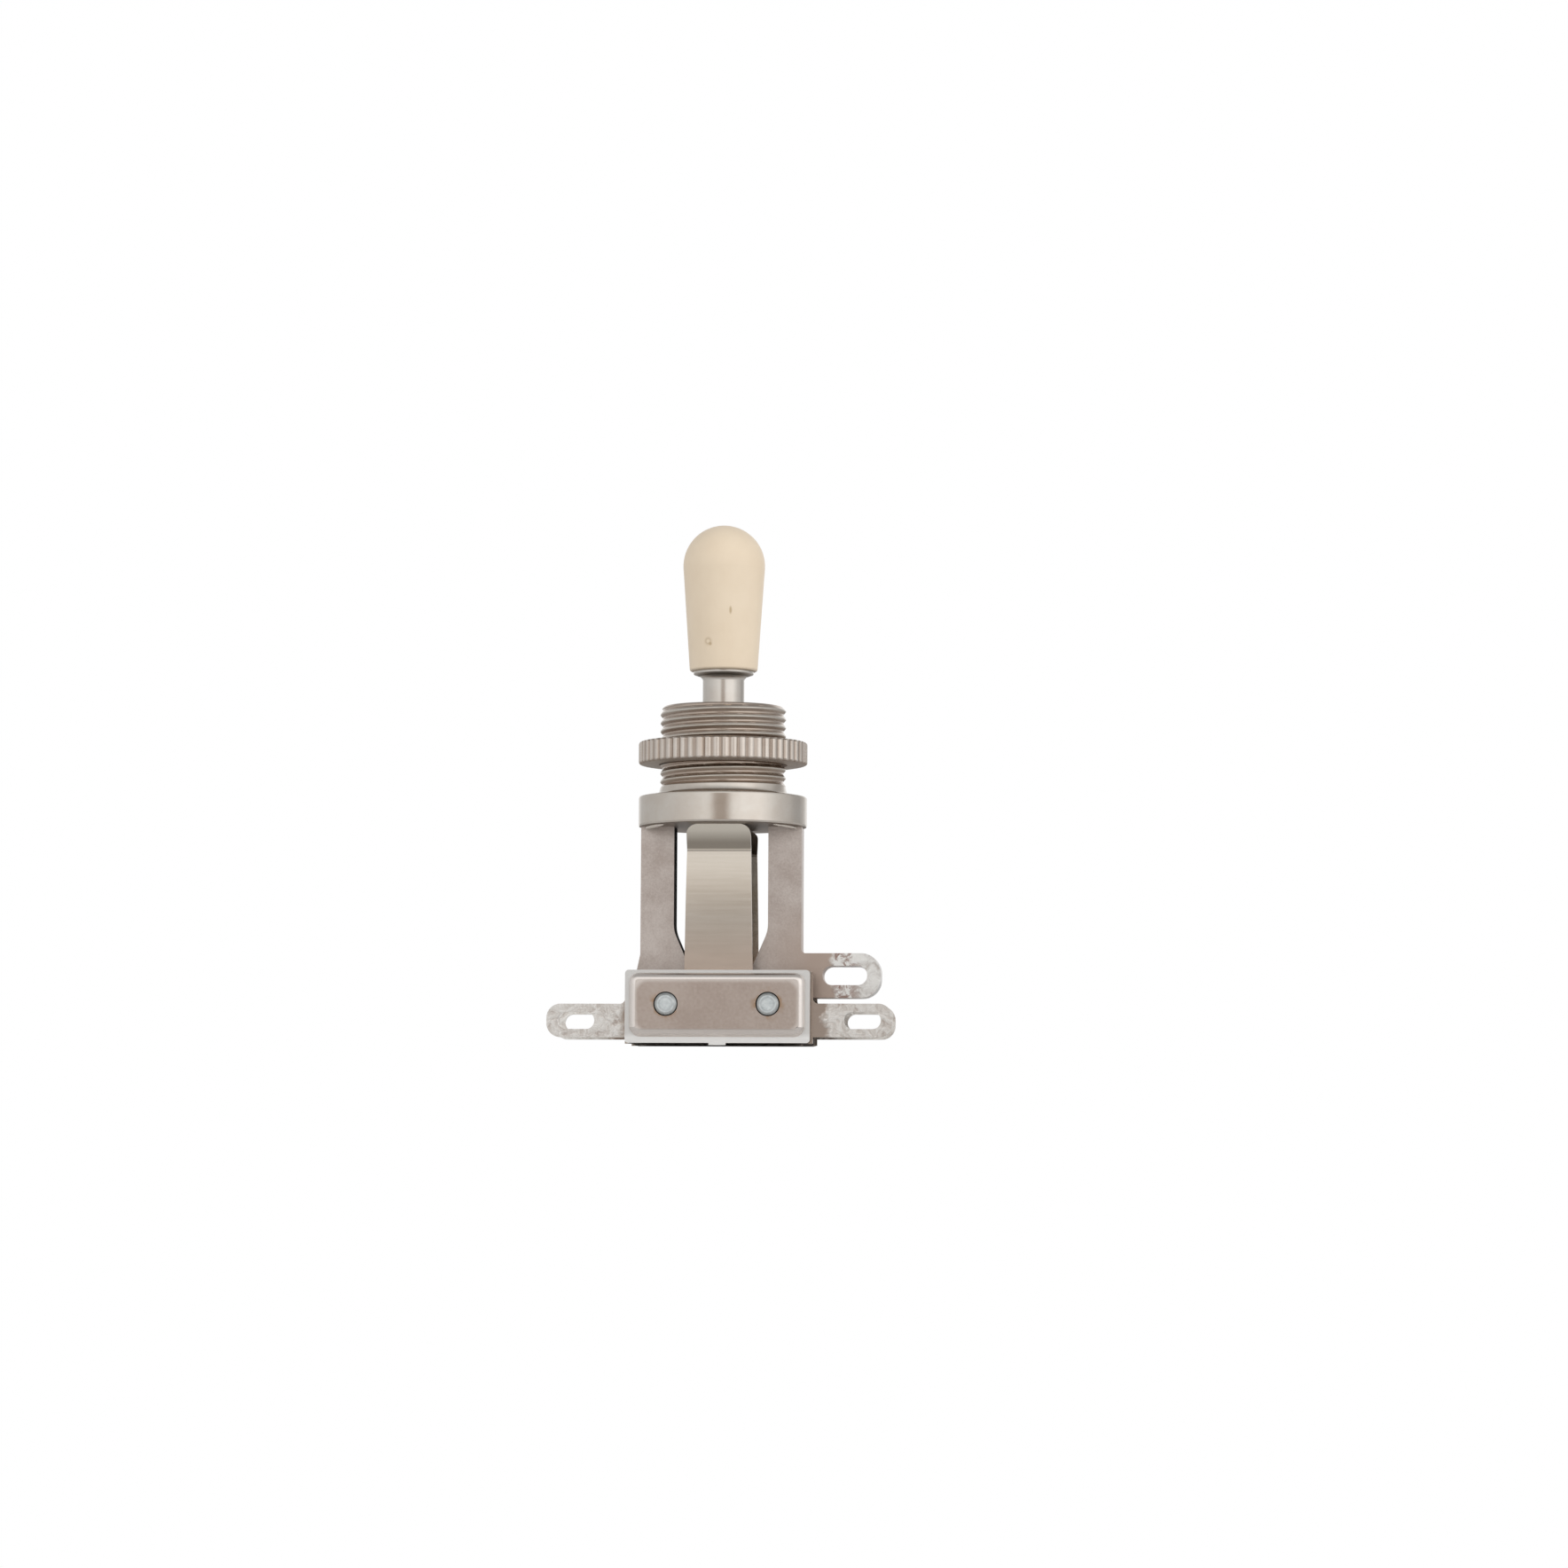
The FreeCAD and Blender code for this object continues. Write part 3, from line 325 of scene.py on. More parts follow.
# The lips take a lighter copy of the collar's nickel as a painted highlight, with a paler painted shade on
# faces that look down.
lip_highlight_nickel = turned_nickel("nickel_plate_staked_highlight", "#F2ECE4", "#F2ECE4", 0.3, 0.2, under_shade="#DCD3CA")
for hand, side, girth in ((-1, "left", 0.24), (1, "right", 0.17)):
    points = []
    for station in range(lip_stations + 1):
        along = station / lip_stations
        thick = girth * math.sin(math.pi * (0.06 + 0.88 * along)) ** 0.7
        bulge = 0.22 * math.sin(math.pi * along)
        for turn in range(lip_sides):
            angle = 2 * math.pi * turn / lip_sides
            out = bulge + thick * math.cos(angle)
            points.append(
                (
                    hand * (lip_start[0] + lip_run[0] * along + lip_outward[0] * out),
                    lip_start[1] + lip_run[1] * along + lip_outward[1] * out,
                    collar_top + underside - 0.04 - lip_drop * along**2 + thick * math.sin(angle),
                )
            )
    faces = [tuple(range(lip_sides)), tuple(range(len(points) - 1, len(points) - lip_sides - 1, -1))]
    for station in range(lip_stations):
        for turn in range(lip_sides):
            here, beside = station * lip_sides + turn, station * lip_sides + (turn + 1) % lip_sides
            faces.append((beside, here, here + lip_sides, beside + lip_sides))
    lip = make_object(f"{side}_stake_lip", points, faces, lip_highlight_nickel)
    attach(lip, "base")

# Mounting nut
# Brass ring nut, nickel plated, with a straight knurl rolled round its rim.
# The knurl's ridges are rounded and a little uneven, as a worn wheel leaves them.

nut_radius = 7.97
nut_bottom, nut_top = -2.16, 0.0
nut_bore, bore_chamfer = 5.72, 0.35
knurl_count = 60
knurl_shallow, knurl_uneven = 0.1, 0.08
# Its second colour is painted shade in the knurl's grooves, and its last is painted shade on faces that look
# down.
nut_nickel = turned_nickel(
    "nickel_plate_knurled", "#E2D9D0", "#B8AA9E", nut_radius, 0.24, under_shade="#B7ACA2"
)


def knurl_ring(height, inset):
    def ring(angle):
        turn = angle * knurl_count / (2 * math.pi)
        number = int(turn)
        uneven = 0.5 + 0.5 * math.sin(number * 2.4 + 1.3 * math.sin(number * 0.7))
        groove = 0.5 - 0.5 * math.cos(2 * math.pi * turn)
        groove = groove ** (1.0 + 1.2 * uneven)
        return nut_radius - inset - (knurl_shallow + knurl_uneven * uneven) * groove, height

    return ring


nut_rings = [
    plain_ring(nut_bore + bore_chamfer, nut_bottom),
    plain_ring(nut_radius - 0.46, nut_bottom),
    plain_ring(nut_radius - 0.42, nut_bottom),
    knurl_ring(nut_bottom + 0.04, 0.16),
    knurl_ring(nut_bottom + 0.12, 0.05),
    knurl_ring(nut_bottom + 0.22, 0.0),
    knurl_ring(nut_bottom + 0.25, 0.0),
    knurl_ring(nut_top - 0.25, 0.0),
    knurl_ring(nut_top - 0.22, 0.0),
    knurl_ring(nut_top - 0.12, 0.05),
    knurl_ring(nut_top - 0.04, 0.16),
    plain_ring(nut_radius - 0.42, nut_top),
    plain_ring(nut_radius - 0.46, nut_top),
    plain_ring(nut_bore + bore_chamfer, nut_top),
    plain_ring(nut_bore, nut_top - bore_chamfer),
    plain_ring(nut_bore, nut_bottom + bore_chamfer),
]
nut = turned_rings("knurled_nut", nut_rings, 720, nut_nickel, sharp=40)
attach(nut, "nut")
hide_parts("mounting_nut")

# Pivot pin, lever and cam
# The lever is turned from nickel-plated brass and swings on a ground steel dowel.
# The cam on its lower end is moulded black nylon, a little waxy to the eye.

lever_radius = 1.97
flange_radius = 2.85
flange_top = 6.73
sweep_radius = 0.5
sweep_foot = 5.8
lever_cut = 2.0
# Its last colour is painted shade under the flange.
lever_nickel = turned_nickel("nickel_plate_lever", "#DDD8D1", "#B9AFA6", 0.3, 0.17, under_shade="#675B51")


def dress_node(name, material):
    """Give a carried-over CAD node its finish."""
    slots = cad[name].material_slots
    if not slots:
        cad[name].data.materials.append(material)
    for slot in slots:
        slot.material = material


def cut_mesh(source, height, keep_below):
    """The part of a CAD node's mesh on one side of a height in millimetres, closed again."""
    form = bmesh.new()
    form.from_mesh(cad[source].data)
    cut = bmesh.ops.bisect_plane(
        form,
        geom=form.verts[:] + form.edges[:] + form.faces[:],
        plane_co=(0, 0, height * MM),
        plane_no=(0, 0, 1),
        clear_outer=keep_below,
        clear_inner=not keep_below,
    )
    rim = [item for item in cut["geom_cut"] if isinstance(item, bmesh.types.BMVert)]
    bmesh.ops.remove_doubles(form, verts=rim, dist=0.001 * MM)
    edges = [
        edge
        for edge in form.edges
        if edge.is_boundary and all(abs(v.co.z - height * MM) < 0.001 * MM for v in edge.verts)
    ]
    bmesh.ops.holes_fill(form, edges=edges)
    mesh = bpy.data.meshes.new(f"{source}_part")
    form.to_mesh(mesh)
    form.free()
    return mesh


def join_meshes(name, meshes, material, sharp=35):
    form = bmesh.new()
    for mesh in meshes:
        form.from_mesh(mesh)
    joined = bpy.data.meshes.new(name)
    form.to_mesh(joined)
    form.free()
    joined.shade_smooth()
    joined.set_sharp_from_angle(angle=math.radians(sharp))
    joined.materials.clear()
    joined.materials.append(material)
    piece = bpy.data.objects.new(name, joined)
    bpy.context.scene.collection.objects.link(piece)
    return piece


# The lever's upper end is turned here, with the neck swept out to the flange. The rest is the solid's.
lever_rings = [plain_ring(lever_radius, lever_cut), plain_ring(lever_radius, sweep_foot - 0.05)]
for lean in (0, 12, 24, 36, 48, 60, 71):
    turned = math.radians(lean)
    lever_rings.append(
        plain_ring(
            lever_radius + sweep_radius * (1 - math.cos(turned)),
            sweep_foot + sweep_radius * math.sin(turned),
        )
    )
lever_rings += [
    plain_ring(flange_radius - 0.07, flange_top - 0.31),
    plain_ring(flange_radius - 0.02, flange_top - 0.26),
    plain_ring(flange_radius, flange_top - 0.21),
    plain_ring(flange_radius, flange_top - 0.06),
    plain_ring(flange_radius - 0.05, flange_top),
    plain_ring(1.5, flange_top),
]
upper_end = turned_rings("lever_upper_end", lever_rings, 96, lever_nickel)
lever = join_meshes(
    "turned_lever",
    [
        upper_end.data,
        cut_mesh("lever", lever_cut, keep_below=True),
        cut_mesh("lever", flange_top + 0.02, keep_below=False),
    ],
    lever_nickel,
)
bpy.data.objects.remove(upper_end)
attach(lever, "lever")
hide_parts("lever")

# Ground steel: grey, and half bright from fine scratches.
pin_steel = new_material("ground_steel")
tree = pin_steel.node_tree
spot = add_node(tree, "TexCoord").outputs["Object"]
grain = add_node(tree, "TexNoise", {"Vector": spot, "Scale": pattern_scale(0.25), "Detail": 3})
rough = add_node(tree, "MapRange", {"Value": grain.outputs["Fac"], "To Min": 0.2, "To Max": 0.4})
shader = add_node(
    tree,
    "BsdfPrincipled",
    {"Base Color": hex_colour("#B4B4B6"), "Metallic": 1.0, "Roughness": rough.outputs[0]},
)
finish_material(pin_steel, shader)
dress_node("pivot_pin", pin_steel)

# Moulded nylon: near black, with a soft broad shine over a fine grain.
cam_nylon = new_material("nylon_black_moulded")
tree = cam_nylon.node_tree
spot = add_node(tree, "TexCoord").outputs["Object"]
grain = add_node(tree, "TexNoise", {"Vector": spot, "Scale": pattern_scale(0.4), "Detail": 4})
bump = add_node(tree, "Bump", {"Height": grain.outputs["Fac"], "Strength": 0.2, "Distance": 0.03 * MM})
shader = add_node(
    tree,
    "BsdfPrincipled",
    {"Base Color": hex_colour("#1F1D1C"), "Roughness": 0.45, "IOR": 1.53, "Normal": bump.outputs[0]},
)
finish_material(cam_nylon, shader)
dress_node("lever_cam", cam_nylon)

# Tip
# Cream moulded plastic pushed on the lever's stud, half gloss, with a faint haze of
# handling marks and three small blemishes on its front.

tip_cream = new_material("moulded_plastic_cream")
tree = tip_cream.node_tree
spot = add_node(tree, "TexCoord").outputs["Object"]
cloud = add_node(
    tree, "TexNoise", {"Vector": spot, "Scale": pattern_scale(3.85), "Detail": 5, "Roughness": 0.55}
)
colour = add_node(
    tree,
    "ValToRGB",
    {"Fac": cloud.outputs["Fac"]},
    stops=[(0.35, hex_colour("#E1CFB6")), (0.65, hex_colour("#E5D4BC"))],
)
fine = add_node(tree, "TexNoise", {"Vector": spot, "Scale": pattern_scale(0.3125), "Detail": 3})
# A blow has left a small ring, with a deeper speck at its lower right.
scuff_place = Vector((-1.26, -3.2, 9.3)) * MM
speck_place = Vector((-1.04, -3.25, 9.05)) * MM
nick_place = Vector((0.9, -3.5, 12.2)) * MM
scuff_ring = add_node(tree, "VectorMath", {0: spot, 1: scuff_place}, operation="DISTANCE")
ring = add_node(
    tree,
    "ValToRGB",
    {
        "Fac": add_node(
            tree, "MapRange", {"Value": scuff_ring.outputs["Value"], "From Max": 0.6 * MM}
        ).outputs[0]
    },
    stops=[(0.2, grey(1.0)), (0.42, grey(0.35)), (0.6, grey(0.75)), (0.85, grey(1.0))],
)
# The nick is a short upright scratch, so its distance counts a third along Z.
away = add_node(tree, "VectorMath", {0: spot, 1: nick_place}, operation="SUBTRACT")
squeezed = add_node(tree, "VectorMath", {0: away.outputs[0], 1: (1.0, 0.5, 0.33)}, operation="MULTIPLY")
nick = add_node(tree, "VectorMath", {0: squeezed.outputs[0]}, operation="LENGTH")
nick_mark = add_node(
    tree,
    "MapRange",
    {"Value": nick.outputs["Value"], "From Min": 0.06 * MM, "From Max": 0.17 * MM, "To Min": 0.0},
    interpolation_type="SMOOTHSTEP",
)
speck = add_node(tree, "VectorMath", {0: spot, 1: speck_place}, operation="DISTANCE")
speck_mark = add_node(
    tree,
    "MapRange",
    {"Value": speck.outputs["Value"], "From Min": 0.08 * MM, "From Max": 0.24 * MM, "To Min": 0.0},
    interpolation_type="SMOOTHSTEP",
)
marks = add_node(
    tree, "Math", {0: nick_mark.outputs[0], 1: speck_mark.outputs[0]}, operation="MULTIPLY"
)
scuffed = add_node(tree, "Math", {0: ring.outputs["Color"], 1: marks.outputs[0]}, operation="MULTIPLY")
worn = add_node(
    tree,
    "Mix",
    {"Factor": scuffed.outputs[0], "A": hex_colour("#BFA98A"), "B": colour.outputs["Color"]},
    data_type="RGBA",
)
height = add_node(tree, "Math", {0: fine.outputs["Fac"], 1: 0.12}, operation="MULTIPLY")
surface = add_node(tree, "Math", {0: height.outputs[0], 1: scuffed.outputs[0]}, operation="ADD")
bump = add_node(tree, "Bump", {"Height": surface.outputs[0], "Strength": 0.35, "Distance": 0.04 * MM})
rough = add_node(tree, "MapRange", {"Value": cloud.outputs["Fac"], "To Min": 0.34, "To Max": 0.48})
shader = add_node(
    tree,
    "BsdfPrincipled",
    {
        "Base Color": worn.outputs["Result"],
        "Roughness": rough.outputs[0],
        "IOR": 1.5,
        "Normal": bump.outputs[0],
    },
)
finish_material(tip_cream, shader)
dress_node("tip", tip_cream)

# Frame
# Stamped steel plate, nickel plated after tumbling, so that its faces are grainy
# and dull. The earth lug's end is tinned with solder.

frame_tin_from = 10.6
flux_from, flux_to = 10.2, 13.4
window_half = 4.8


def stamped_nickel(name, base, dark, tin_from, grain_size, roughness):
    """Nickel over a tumbled stamping, with solder on the lug beyond tin_from millimetres. The
    window's sheared walls are torn, and painted nearly black as painted shade. The grain is drawn as coarse
    as it shows."""
    material = new_material(name)
    tree = material.node_tree
    spot = add_node(tree, "TexCoord").outputs["Object"]
    parts = add_node(tree, "SeparateXYZ", {0: spot})
    grain = add_node(
        tree, "TexNoise", {"Vector": spot, "Scale": pattern_scale(grain_size), "Detail": 4, "Roughness": 0.65}
    )
    cloud = add_node(tree, "TexNoise", {"Vector": spot, "Scale": pattern_scale(2.38), "Detail": 3})
    mixed = add_node(tree, "Math", {0: grain.outputs["Fac"], 1: cloud.outputs["Fac"]}, operation="ADD")
    face = add_node(
        tree,
        "ValToRGB",
        {"Fac": add_node(tree, "Math", {0: mixed.outputs[0], 1: 0.5}, operation="MULTIPLY").outputs[0]},
        stops=[(0.36, hex_colour(dark)), (0.62, hex_colour(base))],
    )
    # Handling has browned the plate towards its lower right corner.
    aside = add_node(
        tree, "MapRange", {"Value": parts.outputs["X"], "From Min": 3.5 * MM, "From Max": 8.5 * MM}
    )
    low = add_node(
        tree, "MapRange", {"Value": parts.outputs["Z"], "From Min": -15 * MM, "From Max": -19.5 * MM}
    )
    browned = add_node(tree, "Math", {0: aside.outputs[0], 1: low.outputs[0]}, operation="MULTIPLY")
    nickel = add_node(
        tree,
        "Mix",
        {"Factor": browned.outputs[0], "A": face.outputs["Color"], "B": hex_colour("#C0AEA2")},
        data_type="RGBA",
    )
    # Solder: bright where it wetted the metal, with brown flux and an uneven edge.
    side = add_node(tree, "Math", {0: parts.outputs["X"]}, operation="ABSOLUTE")
    edge_noise = add_node(
        tree, "TexNoise", {"Vector": spot, "Scale": pattern_scale(1.43), "Detail": 5, "Roughness": 0.6}
    )
    ragged = add_node(
        tree,
        "Math",
        {0: edge_noise.outputs["Fac"], 1: 2.4 * MM, 2: side.outputs[0]},
        operation="MULTIPLY_ADD",
    )
    tinned = add_node(
        tree,
        "MapRange",
        {
            "Value": ragged.outputs[0],
            "From Min": (tin_from + 1.05) * MM,
            "From Max": (tin_from + 1.5) * MM,
        },
    )
    blotch = add_node(
        tree,
        "TexNoise",
        {"Vector": spot, "Scale": pattern_scale(1.11), "Detail": 5, "Roughness": 0.7, "Distortion": 0.8},
    )
    tin = add_node(
        tree,
        "ValToRGB",
        {"Fac": blotch.outputs["Fac"]},
        stops=[
            (0.3, hex_colour("#C0B3AB")),
            (0.42, hex_colour("#E0DCD7")),
            (0.55, hex_colour("#F5F3EF")),
            (0.72, hex_colour("#FFFEFA")),
        ],
    )
    plated = add_node(
        tree,
        "Mix",
        {"Factor": tinned.outputs[0], "A": nickel.outputs["Result"], "B": tin.outputs["Color"]},
        data_type="RGBA",
    )
    # Burnt flux lies where the solder begins, in reddish patches.
    near = add_node(
        tree,
        "ValToRGB",
        {
            "Fac": add_node(
                tree,
                "MapRange",
                {"Value": side.outputs[0], "From Min": flux_from * MM, "From Max": flux_to * MM},
            ).outputs[0]
        },
        stops=[(0.05, grey(0.0)), (0.2, grey(1.0)), (0.6, grey(0.9)), (0.95, grey(0.0))],
    )
    patch = add_node(
        tree, "MapRange", {"Value": blotch.outputs["Fac"], "From Min": 0.56, "From Max": 0.46}
    )
    burnt = add_node(
        tree, "Math", {0: near.outputs["Color"], 1: patch.outputs[0]}, operation="MULTIPLY"
    )
    fluxed = add_node(
        tree,
        "Mix",
        {"Factor": burnt.outputs[0], "A": plated.outputs["Result"], "B": hex_colour("#A5897E")},
        data_type="RGBA",
    )
    # Walls inside the window that face sideways are painted nearly black: torn metal, and painted shade.
    facing = add_node(tree, "SeparateXYZ", {0: add_node(tree, "NewGeometry").outputs["Normal"]})
    turned = add_node(tree, "Math", {0: facing.outputs["X"]}, operation="ABSOLUTE")
    walls = add_node(tree, "MapRange", {"Value": turned.outputs[0], "From Min": 0.3, "From Max": 0.5})
    inside = add_node(tree, "Math", {0: side.outputs[0], 1: window_half * MM}, operation="LESS_THAN")
    torn_and_shaded = add_node(tree, "Math", {0: walls.outputs[0], 1: inside.outputs[0]}, operation="MULTIPLY")
    colour = add_node(
        tree,
        "Mix",
        {"Factor": torn_and_shaded.outputs[0], "A": fluxed.outputs["Result"], "B": hex_colour("#231D19")},
        data_type="RGBA",
    )
    grain_height = add_node(tree, "Math", {0: grain.outputs["Fac"], 1: 0.35}, operation="MULTIPLY")
    tin_height = add_node(
        tree, "Math", {0: blotch.outputs["Fac"], 1: tinned.outputs[0]}, operation="MULTIPLY"
    )
    smooth_height = add_node(
        tree,
        "Math",
        {0: tin_height.outputs[0], 1: 2.0, 2: grain_height.outputs[0]},
        operation="MULTIPLY_ADD",
    )
    tears = add_node(tree, "TexNoise", {"Vector": spot, "Scale": pattern_scale(0.333), "Detail": 2})
    torn_height = add_node(tree, "Math", {0: tears.outputs["Fac"], 1: torn_and_shaded.outputs[0]}, operation="MULTIPLY")
    height = add_node(
        tree,
        "Math",
        {0: torn_height.outputs[0], 1: 8.0, 2: smooth_height.outputs[0]},
        operation="MULTIPLY_ADD",
    )
    bump = add_node(tree, "Bump", {"Height": height.outputs[0], "Strength": 0.6, "Distance": 0.04 * MM})
    gloss = add_node(
        tree,
        "MapRange",
        {"Value": grain.outputs["Fac"], "To Min": roughness - 0.06, "To Max": roughness + 0.1},
    )
    rough = add_node(
        tree, "Mix", {"Factor": torn_and_shaded.outputs[0], "A": gloss.outputs[0], "B": 1.0}, data_type="FLOAT"
    )
    metal = add_node(tree, "MapRange", {"Value": torn_and_shaded.outputs[0], "To Min": 1.0, "To Max": 0.0})
    shader = add_node(
        tree,
        "BsdfPrincipled",
        {
            "Base Color": colour.outputs["Result"],
            "Metallic": metal.outputs[0],
            "Roughness": rough.outputs["Result"],
            "Normal": bump.outputs[0],
        },
    )
    finish_material(material, shader)
    return material


frame_nickel = stamped_nickel(
    "nickel_plate_tumbled", "#D8CEC7", "#BFB2AA", frame_tin_from, grain_size=0.17, roughness=0.36
)
dress_node("frame", frame_nickel)

# Insulating sheets and screw sleeves
# Dark laminated phenolic paper sheets, punched to one outline, and rolled tubes of
# the same stuff. Their cut edges show the plies.

phenolic = new_material("phenolic_paper_dark")
tree = phenolic.node_tree
spot = add_node(tree, "TexCoord").outputs["Object"]
parts = add_node(tree, "SeparateXYZ", {0: spot})
across = add_node(tree, "CombineXYZ", {"Y": parts.outputs["Y"]})
plies = add_node(tree, "TexNoise", {"Vector": across.outputs[0], "Scale": pattern_scale(0.143), "Detail": 2})
fibre = add_node(tree, "TexNoise", {"Vector": spot, "Scale": pattern_scale(0.556), "Detail": 4})
mixed = add_node(tree, "Math", {0: plies.outputs["Fac"], 1: fibre.outputs["Fac"]}, operation="MULTIPLY")
colour = add_node(
    tree,
    "ValToRGB",
    {"Fac": mixed.outputs[0]},
    stops=[(0.15, hex_colour("#403834")), (0.4, hex_colour("#6A605A"))],
)
bump = add_node(tree, "Bump", {"Height": mixed.outputs[0], "Strength": 0.4, "Distance": 0.03 * MM})
shader = add_node(
    tree,
    "BsdfPrincipled",
    {"Base Color": colour.outputs["Color"], "Roughness": 0.5, "IOR": 1.55, "Normal": bump.outputs[0]},
)
finish_material(phenolic, shader)
for side in ("front", "rear"):
    for sheet in ("inner", "middle", "outer"):
        dress_node(f"{side}_{sheet}_insulator", phenolic)
dress_node("screw_sleeves", phenolic)

# Short leaves and contacts
# Blanked from hard nickel-silver strip, lugs tinned, with silver buttons welded on.
# The strip's rolling lines run across the blades.

stack_end = 8.66
fold_reach = 0.5
top_highlight_from, top_highlight_to = -9.75, -8.6
browned_foot, browned_top = -20.6, -10.6


def leaf_metal(name, base, dark, tin_from, shaded_end_above=None):
    """Rolled nickel silver: faint streaks along X, and lugs that heat has browned and solder has
    tinned beyond tin_from millimetres. A long leaf's turned-out end, above the height given, is painted
    darker as painted shade."""
    material = new_material(name)
    tree = material.node_tree
    spot = add_node(tree, "TexCoord").outputs["Object"]
    parts = add_node(tree, "SeparateXYZ", {0: spot})
    # Rolling lines 0.4 mm apart and 8 mm long, with finer ones between: the real ones are finer,
    # and are drawn as coarse as they show.
    stretched = add_node(tree, "Mapping", {"Vector": spot, "Scale": (0.05, 1.0, 1.0)})
    lines = add_node(
        tree,
        "TexNoise",
        {"Vector": stretched.outputs[0], "Scale": pattern_scale(0.385), "Detail": 4, "Roughness": 0.55},
    )
    cloud = add_node(tree, "TexNoise", {"Vector": spot, "Scale": pattern_scale(5.0), "Detail": 4})
    mixed = add_node(tree, "Math", {0: lines.outputs["Fac"], 1: cloud.outputs["Fac"]}, operation="ADD")
    half = add_node(tree, "Math", {0: mixed.outputs[0], 1: 0.5}, operation="MULTIPLY")
    metal = add_node(
        tree,
        "ValToRGB",
        {"Fac": half.outputs[0]},
        stops=[(0.35, hex_colour(dark)), (0.65, hex_colour(base))],
    )
    bare = metal.outputs["Color"]
    if shaded_end_above is not None:
        # The turned-out end is painted darker: painted shade where it faces down and away from the light.
        end = add_node(
            tree,
            "MapRange",
            {
                "Value": parts.outputs["Z"],
                "From Min": (shaded_end_above - 0.02) * MM,
                "From Max": (shaded_end_above + 0.04) * MM,
            },
        )
        bare = add_node(
            tree,
            "Mix",
            {"Factor": end.outputs[0], "A": bare, "B": hex_colour("#ABA296")},
            data_type="RGBA",
        ).outputs["Result"]
        # A band towards its top edge is painted brighter, a painted highlight where the end curls over.
        top_highlight = add_node(
            tree,
            "MapRange",
            {"Value": parts.outputs["Z"], "From Min": top_highlight_from * MM, "From Max": top_highlight_to * MM},
        )
        bare = add_node(
            tree,
            "Mix",
            {"Factor": top_highlight.outputs[0], "A": bare, "B": hex_colour("#E6DED1")},
            data_type="RGBA",
        ).outputs["Result"]
        # The blade browns towards its foot, and a band below the bend is painted lighter, a painted
        # highlight.
        height = add_node(
            tree,
            "MapRange",
            {"Value": parts.outputs["Z"], "From Min": browned_foot * MM, "From Max": browned_top * MM},
        )
        foot_brown_and_highlight = add_node(
            tree,
            "ValToRGB",
            {"Fac": height.outputs[0]},
            stops=[
                (0.0, (0.96, 0.87, 0.84, 1.0)),
                (0.38, (0.94, 0.94, 0.95, 1.0)),
                (0.54, grey(0.98)),
                (0.67, grey(1.08)),
                (0.8, grey(1.08)),
                (0.98, grey(1.0)),
            ],
        )
        bare = add_node(
            tree,
            "Mix",
            {"Factor": 1.0, "A": bare, "B": foot_brown_and_highlight.outputs["Color"]},
            data_type="RGBA",
            blend_type="MULTIPLY",
        ).outputs["Result"]
        # A bright line above the bend and a dark one below it are painted highlight and painted shade.
        folded = add_node(
            tree,
            "MapRange",
            {
                "Value": parts.outputs["Z"],
                "From Min": (shaded_end_above - fold_reach) * MM,
                "From Max": (shaded_end_above + fold_reach) * MM,
            },
        )
        pressed_and_painted_light = add_node(
            tree,
            "ValToRGB",
            {"Fac": folded.outputs[0]},
            stops=[
                (0.33, grey(1.0)),
                (0.39, grey(0.35)),
                (0.45, grey(1.0)),
                (0.5, grey(1.0)),
                (0.55, grey(2.4)),
                (0.61, grey(1.0)),
            ],
        )
        bare = add_node(
            tree,
            "Mix",
            {"Factor": 1.0, "A": bare, "B": pressed_and_painted_light.outputs["Color"]},
            data_type="RGBA",
            blend_type="MULTIPLY",
        ).outputs["Result"]
    side = add_node(tree, "Math", {0: parts.outputs["X"]}, operation="ABSOLUTE")
    lug = add_node(tree, "Math", {0: side.outputs[0], 1: stack_end * MM}, operation="GREATER_THAN")
    bare = add_node(
        tree, "Mix", {"Factor": lug.outputs[0], "A": bare, "B": hex_colour("#B9ABA0")}, data_type="RGBA"
    ).outputs["Result"]
    edge_noise = add_node(
        tree, "TexNoise", {"Vector": spot, "Scale": pattern_scale(1.667), "Detail": 5, "Roughness": 0.6}
    )
    ragged = add_node(
        tree,
        "Math",
        {0: edge_noise.outputs["Fac"], 1: 4.0 * MM, 2: side.outputs[0]},
        operation="MULTIPLY_ADD",
    )
    tinned = add_node(
        tree,
        "MapRange",
        {
            "Value": ragged.outputs[0],
            "From Min": (tin_from + 1.7) * MM,
            "From Max": (tin_from + 2.5) * MM,
        },
    )
    blotch = add_node(
        tree,
        "TexNoise",
        {"Vector": spot, "Scale": pattern_scale(1.0), "Detail": 5, "Roughness": 0.7, "Distortion": 0.8},
    )
    tin = add_node(
        tree,
        "ValToRGB",
        {"Fac": blotch.outputs["Fac"]},
        stops=[
            (0.3, hex_colour("#BDAFA6")),
            (0.42, hex_colour("#E4DED8")),
            (0.55, hex_colour("#FAF8F4")),
            (0.72, hex_colour("#FFFEFB")),
        ],
    )
    colour = add_node(
        tree,
        "Mix",
        {"Factor": tinned.outputs[0], "A": bare, "B": tin.outputs["Color"]},
        data_type="RGBA",
    )
    line_height = add_node(tree, "Math", {0: lines.outputs["Fac"], 1: 0.03}, operation="MULTIPLY")
    tin_height = add_node(
        tree, "Math", {0: blotch.outputs["Fac"], 1: tinned.outputs[0]}, operation="MULTIPLY"
    )
    height = add_node(
        tree,
        "Math",
        {0: tin_height.outputs[0], 1: 1.5, 2: line_height.outputs[0]},
        operation="MULTIPLY_ADD",
    )
    bump = add_node(tree, "Bump", {"Height": height.outputs[0], "Strength": 0.5, "Distance": 0.04 * MM})
    rough = add_node(tree, "MapRange", {"Value": lines.outputs["Fac"], "To Min": 0.18, "To Max": 0.27})
